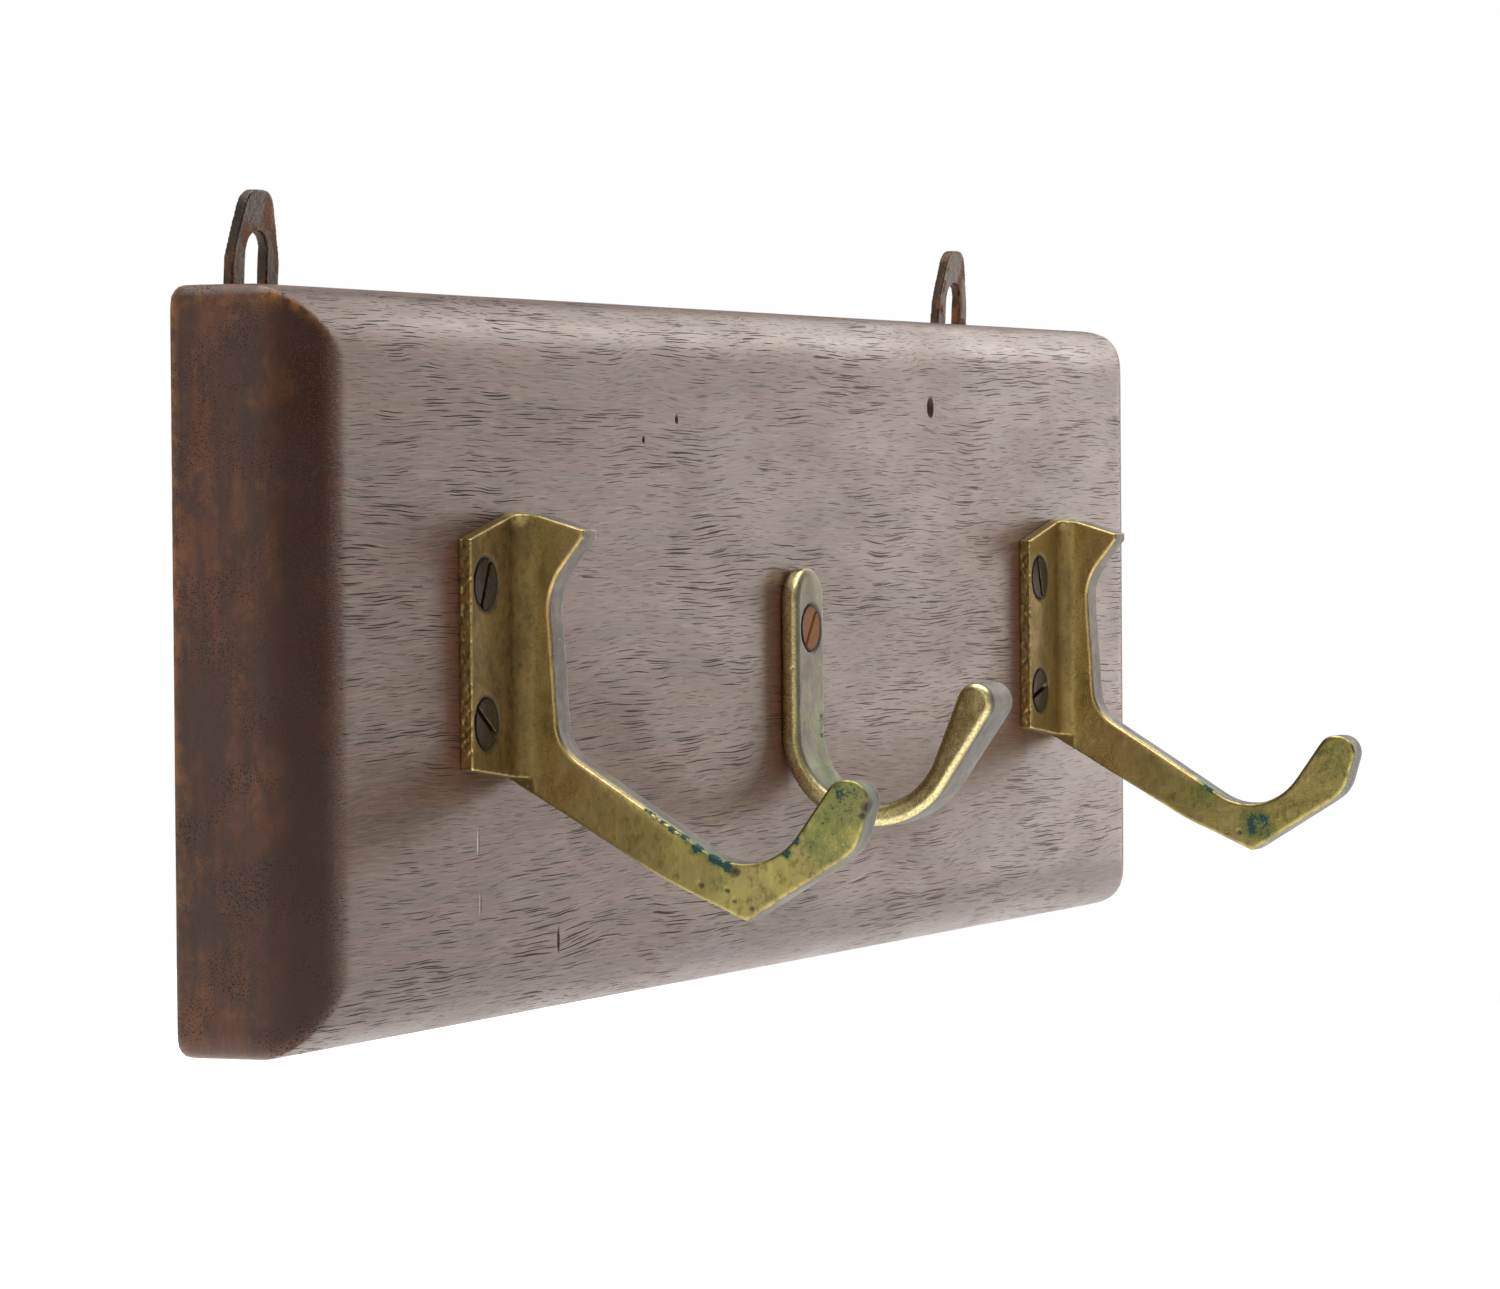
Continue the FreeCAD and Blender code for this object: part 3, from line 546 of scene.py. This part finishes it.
def drifting_grain(desk):
    """The place, swayed up and down so that grain along X isn't straight."""
    sway = desk.lumps((44 * MM, 30 * MM, 18 * MM), 2.0)
    curl = desk.lumps((7 * MM, 9 * MM, 4 * MM), 2.0)
    broad_rise = desk.times(desk.plus(sway, -0.5), 4.5 * MM)
    small_rise = desk.times(desk.plus(curl, -0.5), 0.40 * MM)
    lift = desk.add("ShaderNodeCombineXYZ", {"Z": desk.plus(broad_rise, small_rise)})
    wavy = desk.add("ShaderNodeVectorMath", {0: desk.place, 1: lift.outputs["Vector"]}, operation="ADD")
    return wavy.outputs["Vector"]


def open_pores(desk, look, grain):
    """1 in the pores that lie open along the grain, which are fewer towards the right end."""
    width = look.pore_width
    crowd = desk.lumps((22 * MM, 12 * MM, 8 * MM), 3.0)
    reach = desk.ramp(crowd, 0.34, 0.62, 0.08, 0.36)
    far = desk.cells((look.pore_length, width, width), grain)
    pores = desk.ramp(desk.plus(reach, desk.times(far, -1.0)), 0.0, 0.10)
    fine_far = desk.cells((0.5 * look.pore_length, 0.6 * width, 0.6 * width), grain)
    pores = desk.most(pores, desk.times(desk.ramp(fine_far, 0.26, 0.14), 0.7))
    along = desk.parts(desk.place)["X"]
    return desk.times(pores, desk.ramp(along, BOARD_LOW.x, BOARD_HIGH.x, 1.0, 0.45))


def end_grain_colour(desk, look, mottle):
    """The redder wood of the sawn ends, blotched pale and dark."""
    rays = desk.lumps((8 * MM, 2.2 * MM, 26 * MM), 4.0)
    blotches = desk.lumps((6 * MM, 5 * MM, 12 * MM), 5.0, bend=0.8)
    patches = desk.lumps((5 * MM, 4 * MM, 7 * MM), 5.0, bend=1.0)
    clouds = desk.lumps((26 * MM, 8 * MM, 14 * MM), 3.0)
    colour = desk.mixed(desk.ramp(rays, 0.30, 0.62), look.dark_wood, look.red_wood)
    colour = desk.coat(colour, look.worn_wood, desk.ramp(blotches, 0.52, 0.74), 0.34)
    colour = desk.coat(colour, look.worn_wood, desk.ramp(mottle, 0.52, 0.72), 0.22)
    colour = desk.coat(colour, look.dark_wood, desk.ramp(patches, 0.46, 0.62), 0.65)
    return desk.coat(colour, look.dark_wood, desk.ramp(clouds, 0.62, 0.35), 0.7)


def varnished_wood():
    """Open-grained reddish wood under thin worn varnish; the grain runs along X. Painted shade darkens the
    rounded edges of the ends and the strip beside each hook, and the grey haze is partly a painted sheen.
    """
    look = settings()[0]
    desk = Bench(bpy.data.materials.new("varnished_wood"))
    grain = drifting_grain(desk)
    pores = open_pores(desk, look, grain)
    fibres = desk.lumps((7 * MM, 0.22 * MM, 0.22 * MM), 4.0, grain)
    streaks = desk.lumps((40 * MM, 2.0 * MM, 2.0 * MM), 6.0, grain)
    mottle = desk.lumps((1.6 * MM, 1.6 * MM, 1.8 * MM), 5.0)
    facing = desk.parts(desk.places["Normal"])
    endward = desk.maths("ABSOLUTE", facing["X"])
    forward = desk.times(facing["Y"], -1.0)
    end_grain = desk.ramp(endward, 0.55, 0.92)
    # Painted shade on the rounded edges between the ends and the front.
    shaded_roundover = desk.times(desk.ramp(forward, 0.0, 0.70), desk.ramp(endward, 0.1, 0.5))
    # Painted shade in the strip beside each hook, where the hook blocks the light.
    soiled = desk.times(desk.painted("soiled"), desk.ramp(mottle, 0.3, 0.6, 0.75, 1.0))
    worn = desk.times(desk.painted("worn"), desk.ramp(mottle, 0.38, 0.6, 0.2, 1.0))
    hollow = desk.most(pores, desk.painted("mark"))

    colour = desk.mixed(desk.ramp(streaks, 0.25, 0.75, 0.2, 1.0), look.dark_wood, look.wood)
    # Grey haze: faded varnish, and partly a painted sheen.
    colour = desk.coat(colour, look.haze_and_sheen, desk.ramp(fibres, 0.42, 0.70), 0.42)
    colour = desk.mixed(end_grain, colour, end_grain_colour(desk, look, mottle))
    # Painted shade: the rounded edges of the ends turn dark red.
    colour = desk.coat(colour, look.roundover_shade, shaded_roundover, 0.92)
    # Painted shade: the strip beside each hook turns redder and darker.
    colour = desk.coat(colour, look.red_wood, soiled, 0.7)
    colour = desk.mixed(worn, colour, look.worn_wood)
    colour = desk.coat(colour, PORE_DIRT, hollow, 0.95)
    colour = desk.mixed(desk.painted("scratch"), colour, BARE_SCRATCH)

    rough = desk.ramp(desk.lumps((30 * MM, 8 * MM, 10 * MM), 3.0), 0.3, 0.7, 0.29, 0.37)
    rough = desk.plus(rough, desk.times(hollow, 0.6))
    rough = desk.plus(rough, desk.times(soiled, 0.26))
    weave = desk.plus(fibres, desk.times(mottle, 0.5))
    weave = desk.times(weave, desk.plus(1.0, desk.times(shaded_roundover, -0.85)))
    normal = desk.bump(weave, 0.014 * MM)
    normal = desk.bump(desk.plus(desk.times(pores, -1.0), 1.0), 0.10 * MM, normal)
    return desk.shade(Base_Color=colour, Roughness=rough, Normal=normal, IOR=1.5)


def aged_brass(name, patina_share, rubbed):
    """Brass, brown in its hollows, rubbed bright on its edges and green in places; a grey coat is painted
    reflection, and the rubbed colour is partly painted highlight.
    """
    look = settings()[1]
    desk = Bench(bpy.data.materials.new(name))
    clouds = desk.lumps((5 * MM, 5 * MM, 7 * MM), 5.0, bend=0.6)
    grime = desk.lumps((1.2 * MM, 1.2 * MM, 1.4 * MM), 5.0)
    fine = desk.lumps((0.35 * MM, 0.35 * MM, 0.35 * MM), 4.0)
    rub = desk.lumps((0.6 * MM, 0.6 * MM, 6 * MM), 3.0)
    specks = desk.ramp(desk.cells((1.6 * MM, 1.6 * MM, 1.6 * MM)), 0.13, 0.06)
    dust = desk.ramp(desk.cells((1.9 * MM, 2.1 * MM, 1.8 * MM)), 0.06, 0.04)
    tarnish = desk.painted("tarnish")
    cover = desk.plus(tarnish, desk.times(desk.ramp(clouds, 0.45, 0.75), patina_share))
    cover = desk.times(cover, desk.ramp(grime, 0.30, 0.62, 1.0, 0.72))
    # Painted reflection: a grey coat on the faces that look forward, with less metal and more roughness.
    dull = desk.times(desk.painted("dull"), desk.ramp(grime, 0.35, 0.65, 1.0, 0.75))
    uneven = desk.plus(desk.times(desk.plus(grime, fine), 0.5), -0.5)
    stain = desk.plus(desk.painted("verdigris"), desk.times(uneven, 2.0))
    salts = desk.ramp(stain, 0.62, 0.85)
    # Rubbed edges, and painted highlight along an angle hook's upper arm edge and over the strap hook's side
    # faces.
    edge = desk.times(desk.painted("bright"), desk.ramp(fine, 0.32, 0.58, 0.25, 1.0))
    dark = desk.most(desk.painted("spot"), desk.times(specks, desk.ramp(clouds, 0.50, 0.7, 0.0, 0.7)))

    colour = desk.mixed(desk.painted("aged"), look.brass, look.green_brass)
    colour = desk.coat(colour, look.olive_brass, desk.ramp(clouds, 0.36, 0.66), 0.7)
    colour = desk.coat(colour, look.patina, desk.ramp(grime, 0.48, 0.70), 0.2 + 1.6 * patina_share)
    colour = desk.coat(colour, rubbed, desk.ramp(rub, 0.52, 0.75), 0.22)
    colour = desk.mixed(cover, colour, look.patina)
    # Painted reflection, laid on as grey.
    colour = desk.mixed(dull, colour, look.reflection_grey)
    colour = desk.coat(colour, look.green_stain, desk.ramp(stain, 0.12, 0.55), 0.7)
    # Rubbed brass, and painted highlight, in the rubbed colour.
    colour = desk.mixed(edge, colour, rubbed)
    colour = desk.mixed(salts, colour, look.verdigris)
    colour = desk.mixed(dark, colour, PIT_DIRT)
    colour = desk.coat(colour, PALE_DUST, dust, 0.6)

    rough = desk.ramp(desk.plus(clouds, desk.times(grime, 0.5)), 0.55, 1.0, 0.30, 0.46)
    for mask, change in ((salts, 0.3), (tarnish, 0.2), (dull, 0.16), (edge, -0.08)):
        rough = desk.plus(rough, desk.times(mask, change))
    metal = desk.ramp(desk.plus(desk.most(salts, dark), desk.times(dull, 0.75)), 0.1, 1.0, 1.0, 0.1)
    height = desk.plus(desk.times(grime, 0.7), desk.times(fine, 0.3))
    normal = desk.bump(height, 0.05 * MM)
    normal = desk.bump(desk.times(dark, -1.0), 0.08 * MM, normal)
    return desk.shade(Base_Color=colour, Metallic=metal, Roughness=rough, Normal=normal)


def old_iron(name, rust_share, base):
    """Dark iron or steel with rust in patches and rubbed edges."""
    look = settings()[1]
    desk = Bench(bpy.data.materials.new(name))
    clouds = desk.lumps((4 * MM, 4 * MM, 5 * MM), 5.0, bend=0.6)
    grains = desk.lumps((0.6 * MM, 0.6 * MM, 0.6 * MM), 4.0)
    rusty = desk.ramp(desk.plus(clouds, rust_share), 0.55, 0.80)
    rusty = desk.times(rusty, desk.ramp(grains, 0.3, 0.6, 0.45, 1.0))
    colour = desk.mixed(desk.ramp(grains, 0.35, 0.7), base, look.iron)
    colour = desk.mixed(rusty, colour, look.rust)
    rubbed = desk.times(desk.painted("bright"), desk.ramp(grains, 0.4, 0.6))
    colour = desk.mixed(rubbed, colour, RUBBED_IRON)
    # Darker in the hollows and round the rim of a screw head.
    colour = desk.mixed(desk.painted("spot"), colour, HOLLOW_DARK)
    metal = desk.ramp(rusty, 0.1, 0.7, 0.85, 0.05)
    rough = desk.ramp(rusty, 0.0, 0.8, 0.42, 0.85)
    normal = desk.bump(desk.plus(grains, desk.times(clouds, 0.6)), 0.08 * MM)
    return desk.shade(Base_Color=colour, Metallic=metal, Roughness=rough, Normal=normal)


# --- pieces -----------------------------------------------------------------------------

class RAIL_OT_board(bpy.types.Operator):
    """Make the varnished board"""

    bl_idname = "rail.board"
    bl_label = "Board"

    def execute(self, context):
        look = settings()[0]
        board = finely_meshed("backboard", look.cell, "wooden_board")
        middles = [Vector((BOARD_LOW.x + mark[0] * MM, BOARD_LOW.y, mark[1] * MM))
                   for mark in BOARD_MARKS + BOARD_SCRATCHES]
        refine_round(board.data, middles, 3 * MM, 5)
        skin = Skin(board.data)
        bulge = skin.spread(skin.bulge(), 4)
        worn = self.worn(skin, bulge)
        marks, mark_depth = self.pressed(skin, BOARD_MARKS)
        scratches, scratch_depth = self.pressed(skin, BOARD_SCRATCHES)
        uneven = 0.03 * MM * skin.rough(40 * MM, 2)
        rubbed_away = 0.6 * MM * np.clip(bulge, 0.0, 1.0)
        skin.push(uneven - rubbed_away - np.maximum(mark_depth, scratch_depth))
        skin.paint("worn", worn)
        skin.paint("mark", marks)
        skin.paint("scratch", scratches)
        skin.paint("soiled", self.soiled(skin))
        fit_piece(board, "backboard", varnished_wood())
        return {"FINISHED"}

    def worn(self, skin, bulge):
        """0 to 1 where the varnish is worn off: the edges, most of all high up and at the back."""
        ragged = skin.rough(9 * MM, 1)
        edges = np.clip(bulge * 9.0 - 0.25 + 0.35 * ragged, 0.0, 1.0)
        edges *= 0.3 + 0.7 * smooth_step(skin.points[:, 2], -30 * MM, 20 * MM)
        near_back = np.clip(1.0 + skin.points[:, 1] / (4 * MM), 0.0, 1.0) * (skin.normals[:, 1] < 0.8)
        return np.maximum(edges, near_back * np.clip(0.15 + 0.9 * ragged, 0.0, 1.0))

    def pressed(self, skin, marks):
        """How strong and how deep a list of marks is at each point of the front."""
        shade = np.zeros(len(skin.points))
        press = np.zeros(len(skin.points))
        front = skin.points[:, 1] <= BOARD_LOW.y + 2 * MM
        for across, up, half_wide, half_high, deep, strength in marks:
            sideways = ((skin.points[:, 0] - BOARD_LOW.x) / MM - across) / half_wide
            upward = (skin.points[:, 2] / MM - up) / half_high
            inside = np.clip(1.5 - np.hypot(sideways, upward), 0.0, 1.0) * front
            shade = np.maximum(shade, inside * strength)
            press = np.maximum(press, inside * deep * MM)
        return shade, press

    def soiled(self, skin):
        """0 to 1 on the front, in the strip of painted shade beside each hook."""
        total = np.zeros(len(skin.points))
        for node, (wide, low, high) in HOOK_SHADE_STRIPS.items():
            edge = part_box(node)[0][0]
            across = skin.points[:, 0]
            up = (skin.points[:, 2] - hook_corner(node).z) / MM
            strip = smooth_step(across, edge - wide * MM, edge - 1 * MM) * (across < edge + 3 * MM)
            strip *= smooth_step(up, low - 5.0, low + 2.0) * smooth_step(up, high + 2.0, high - 4.0)
            total = np.maximum(total, strip)
        return total * (skin.normals[:, 1] < -0.5)


def wear_angle_hook(node, skin, coats, fine, broad):
    """Age an angle hook: grimy root, polished web, brown arm, and an upper edge that is green and rubbed
    bright with a painted highlight; the painted grey reflection is kept off the root.
    """
    across, reach = skin.across, skin.reach
    flat_side = skin.sideways > 0.8
    web = smooth_step(across, 14.0, 14.6) * smooth_step(reach, 3.2, 4.8)
    root = smooth_step(reach, 6.0, 3.8) * (across < 15.0) * (across > 0.25)
    brow = smooth_step(skin.rise, 6.0, 15.0) * smooth_step(reach, 4.0, 9.0) * flat_side
    arm = smooth_step(reach, 12.0, 18.0) * smooth_step(reach, 34.0, 28.0) * flat_side
    brown = 0.42 * arm * np.clip(0.7 + 1.2 * broad, 0.0, 1.0)
    cleaned = coats["tarnish"] * (1.0 - 0.85 * web)
    coats["tarnish"] = np.maximum.reduce((cleaned, 0.88 * root, 0.15 * brow, brown))
    polished = POLISH[node] * web * flat_side * smooth_step(reach, 16.0, 7.0)
    # Rubbed brass and a painted highlight along the arm's upper edge.
    rubbed = skin.arm_edge(EDGE_RUB_AND_HIGHLIGHT) * (0.8 + 0.4 * fine)
    coats["bright"] = np.maximum.reduce((coats["bright"], skin.patches(WORN_PEAK), polished, rubbed))
    salts = skin.arm_edge(EDGE_STAIN[node]) * (0.85 + 0.6 * fine)
    coats["verdigris"] = np.maximum(coats["verdigris"], salts)
    # The painted grey reflection stays off the root.
    coats["dull"] *= smooth_step(reach, 3.0, 5.0)
    coats["aged"] = smooth_step(reach, 6.0, 26.0)


def strap_hook_light_and_age(skin, coats, broad):
    """Paint light on the strap hook: painted grey reflection on the faces that look forward, painted
    highlight in pale brass everywhere else, and greener brass in broad patches.
    """
    forward = -skin.normals[:, 1]
    # Painted reflection: grey on the faces that look forward.
    coats["dull"] = np.maximum(coats["dull"], 0.95 * smooth_step(forward, 0.35, 0.8))
    # Painted highlight: pale brass on every other face.
    coats["bright"] = np.maximum(coats["bright"], 0.95 * (1.0 - coats["dull"]))
    coats["aged"] = 0.6 + 0.4 * broad


def make_brass_piece(node, cell, material, seed):
    """One brass hook: worn on its edges, tarnished in its hollows, with a grey coat of painted reflection on
    its outer faces.
    """
    piece = finely_meshed(node, cell, f"brass_{node}")
    skin = HookSkin(piece.data, hook_corner(node))
    sharp = skin.bulge()
    fine = skin.rough(1.2 * MM, seed)
    broad = skin.rough(7 * MM, seed + 1)
    pits = np.zeros(len(sharp))
    coats = {
        "bright": np.clip(skin.spread(sharp, 2) * 6.0 - 0.55 + 0.35 * fine, 0.0, 1.0),
        "tarnish": np.clip(skin.spread(np.clip(-sharp, 0.0, 1.0), 40) * 26.0, 0.0, 0.9),
        # Painted reflection: grey on the faces that don't look sideways, away from the board.
        "dull": smooth_step(skin.sideways, 0.75, 0.35) * smooth_step(skin.reach, 3.0, 4.5),
        "verdigris": skin.patches(VERDIGRIS[node]),
    }
    if node in ANGLE_HOOKS:
        wear_angle_hook(node, skin, coats, fine, broad)
        flank = (skin.across < 0.4) * np.clip(-skin.normals[:, 0], 0.0, 1.0)
        pits = np.clip(skin.rough(0.7 * MM, seed + 2, 2) - 0.1, 0.0, 1.0) * flank
    else:
        strap_hook_light_and_age(skin, coats, broad)
    spot = np.maximum(skin.patches(DARK_SPOTS[node]), 0.85 * skin.screw_rings(SCREWS_OF[node]))
    skin.push(MM * (0.05 * broad + 0.012 * fine - 0.14 * pits - 0.10 * spot))
    coats["bright"] *= 1.0 - 0.6 * pits
    coats["tarnish"] *= TARNISH_SHARE[node]
    coats["spot"] = np.clip(spot + 1.2 * pits, 0.0, 1.0)
    for name, values in coats.items():
        skin.paint(name, values)
    fit_piece(piece, node, material)


class RAIL_OT_angle_hooks(bpy.types.Operator):
    """Make the two hooks sawn from brass angle"""

    bl_idname = "rail.angle_hooks"
    bl_label = "Angle hooks"

    def execute(self, context):
        look = settings()[1]
        brass = aged_brass("aged_angle_brass", 0.22, look.bright_brass)
        for seed, node in enumerate(ANGLE_HOOKS, start=10):
            make_brass_piece(node, look.hook_cell, brass, seed)
        return {"FINISHED"}


class RAIL_OT_centre_hook(bpy.types.Operator):
    """Make the bent strap hook in the middle"""

    bl_idname = "rail.centre_hook"
    bl_label = "Centre hook"

    def execute(self, context):
        look = settings()[1]
        brass = aged_brass("aged_strap_brass", 0.10, look.pale_brass_and_highlight)
        make_brass_piece("centre_hook", look.hook_cell, brass, 20)
        return {"FINISHED"}


def make_iron_piece(node, cell, material, seed, lean=0.0):
    """A plate or screw of old iron, a little uneven; a plate's top can lean forward."""
    piece = finely_meshed(node, cell, f"iron_{node}")
    skin = Skin(piece.data)
    sharp = skin.bulge()
    fine = skin.rough(1.5 * MM, seed)
    # Darker in the hollows.
    spot = np.clip(skin.spread(np.clip(-sharp, 0.0, 1.0), 5) * 5.0, 0.0, 0.9)
    if "screw" in node:
        middle = middle_of(node)
        away = np.hypot(skin.points[:, 0] - middle.x, skin.points[:, 2] - middle.z)
        # A screw head is also darker round its rim.
        spot = np.maximum(spot, smooth_step(away / away.max(), 0.85, 0.97))
    skin.paint("bright", np.clip(skin.spread(sharp, 2) * 4.0 - 0.5 + 0.4 * fine, 0.0, 1.0))
    skin.paint("spot", spot)
    uneven = 0.03 * MM * skin.rough(3 * MM, seed + 1) + 0.01 * MM * fine
    above_board = np.clip((skin.points[:, 2] - BOARD_HIGH.z) / (13 * MM), 0.0, 1.0)
    skin.points[:, 1] -= lean * above_board ** 1.5
    skin.push(uneven)
    fit_piece(piece, node, material)


class RAIL_OT_screws(bpy.types.Operator):
    """Make all the slotted screws"""

    bl_idname = "rail.screws"
    bl_label = "Screws"

    def execute(self, context):
        look = settings()[1]
        steel = old_iron("dark_screw_steel", -0.02, look.screw_steel)
        rusty = old_iron("rusty_screw_steel", 0.30, look.rusty_steel)
        dark_screws = SCREWS_OF["left_hook"] + SCREWS_OF["right_hook"] + HANGER_SCREWS
        for seed, node in enumerate(dark_screws, start=30):
            make_iron_piece(node, look.screw_cell, steel, seed)
        for seed, node in enumerate(SCREWS_OF["centre_hook"], start=50):
            make_iron_piece(node, look.screw_cell, rusty, seed)
        return {"FINISHED"}


class RAIL_OT_hanger_plates(bpy.types.Operator):
    """Make the two iron hanger plates"""

    bl_idname = "rail.hanger_plates"
    bl_label = "Hanger plates"

    def execute(self, context):
        look = settings()[1]
        iron = old_iron("rusted_hanger_iron", 0.08, look.plate_iron)
        for seed, node in enumerate(HANGERS, start=60):
            make_iron_piece(node, look.hook_cell, iron, seed, look.plate_lean)
        return {"FINISHED"}


# --- stage ------------------------------------------------------------------------------

def add_light(name, power):
    """Hang one rectangular light that the camera doesn't see."""
    place, aim, wide, high, colour = LIGHTS[name]
    data = bpy.data.lights.new(name, "AREA")
    data.shape = "RECTANGLE"
    data.size = wide
    data.size_y = high
    data.energy = power
    data.color = colour
    lamp = bpy.data.objects.new(name, data)
    lamp.location = place
    lamp.rotation_euler = (Vector(aim) - Vector(place)).to_track_quat("-Z", "Y").to_euler()
    lamp.visible_camera = False
    bpy.context.scene.collection.objects.link(lamp)


class RAIL_OT_stage(bpy.types.Operator):
    """Make the camera, the floor, the room and the lights"""

    bl_idname = "rail.stage"
    bl_label = "Stage"

    def execute(self, context):
        look = settings()[2]
        self.add_camera(look)
        self.add_room(look)
        self.add_floor(look)
        for name in LIGHTS:
            add_light(name, getattr(look, name))
        context.scene.view_settings.view_transform = "Standard"
        return {"FINISHED"}

    def add_camera(self, look):
        ahead = Vector((math.cos(look.heading) * math.cos(look.dip),
                        math.sin(look.heading) * math.cos(look.dip), -math.sin(look.dip)))
        level = ahead.cross(Vector((0, 0, 1))).normalized()
        above = level.cross(ahead)
        turn = math.sin(look.roll)
        keep = math.cos(look.roll)
        right = level * keep + above * turn
        top = above * keep - level * turn
        data = bpy.data.cameras.new("camera")
        data.lens = look.lens
        data.clip_start = 0.01
        data.clip_end = 50.0
        camera = bpy.data.objects.new("camera", data)
        turned = Matrix((right, top, -ahead)).transposed().to_4x4()
        camera.matrix_world = Matrix.Translation(look.camera_place) @ turned
        bpy.context.scene.collection.objects.link(camera)
        bpy.context.scene.camera = camera

    def add_room(self, look):
        """A white background, and a soft light that is stronger behind the board and at its left."""
        desk = Bench(bpy.data.worlds.new("room"))
        way = desk.parts(desk.places["Generated"])
        level = desk.ramp(way["Y"], -0.65, 0.2, look.front_level, look.room_level)
        gain = desk.ramp(way["X"], -0.5, -0.95, 1.0, look.left_gain)
        around = desk.add("ShaderNodeBackground", {
            "Color": (1.0, 0.98, 0.95, 1.0), "Strength": desk.times(level, gain)})
        white = desk.add("ShaderNodeBackground", {"Color": WHITE})
        seen = desk.add("ShaderNodeLightPath").outputs["Is Camera Ray"]
        both = desk.add("ShaderNodeMixShader", {0: seen, 1: around.outputs[0], 2: white.outputs[0]})
        desk.add("ShaderNodeOutputWorld", {"Surface": both.outputs[0]})
        bpy.context.scene.world = desk.owner

    def add_floor(self, look):
        """A pale floor that glows a little, and more where the camera sees it."""
        half = look.floor_half
        height = BOARD_LOW.z - look.floor_gap
        mesh = bpy.data.meshes.new("floor")
        corners = [(-half, -half, height), (half, -half, height), (half, half, height), (-half, half, height)]
        mesh.from_pydata(corners, [], [(0, 1, 2, 3)])
        floor = bpy.data.objects.new("floor", mesh)
        desk = Bench(bpy.data.materials.new("pale_floor"))
        tone = desk.lumps((0.4, 0.4, 0.4), 3.0)
        shade = desk.mixed(tone, (0.80, 0.80, 0.80, 1.0), (0.83, 0.83, 0.83, 1.0))
        seen = desk.add("ShaderNodeLightPath").outputs["Is Camera Ray"]
        glow = desk.times(desk.plus(desk.times(seen, 0.35), 0.65), look.floor_glow)
        mesh.materials.append(desk.shade(Base_Color=shade, Roughness=0.8, Emission_Color=WHITE,
                                         Emission_Strength=glow))
        bpy.context.scene.collection.objects.link(floor)


class RAIL_PT_panel(bpy.types.Panel):
    """Lists the pieces of the coat rail"""

    bl_idname = "RAIL_PT_panel"
    bl_label = "Coat Rail"
    bl_space_type = "VIEW_3D"
    bl_region_type = "UI"
    bl_category = "Coat Rail"

    def draw(self, context):
        for group in settings():
            box = self.layout.box()
            for name in group.__annotations__:
                box.prop(group, name)
        for operator in OPERATORS:
            self.layout.operator(operator.bl_idname)


GROUPS = {"rail_board": BoardSettings, "rail_metal": MetalSettings, "rail_stage": StageSettings}
OPERATORS = (RAIL_OT_board, RAIL_OT_angle_hooks, RAIL_OT_centre_hook, RAIL_OT_screws,
             RAIL_OT_hanger_plates, RAIL_OT_stage)


def register():
    for name, group in GROUPS.items():
        bpy.utils.register_class(group)
        setattr(bpy.types.Scene, name, PointerProperty(type=group))
    for operator in OPERATORS:
        bpy.utils.register_class(operator)
    bpy.utils.register_class(RAIL_PT_panel)


def unregister():
    bpy.utils.unregister_class(RAIL_PT_panel)
    for operator in reversed(OPERATORS):
        bpy.utils.unregister_class(operator)
    for name, group in GROUPS.items():
        delattr(bpy.types.Scene, name)
        bpy.utils.unregister_class(group)


def main():
    register()
    bpy.ops.rail.board()
    bpy.ops.rail.angle_hooks()
    bpy.ops.rail.centre_hook()
    bpy.ops.rail.screws()
    bpy.ops.rail.hanger_plates()
    bpy.ops.rail.stage()


if __name__ == "__main__":
    main()
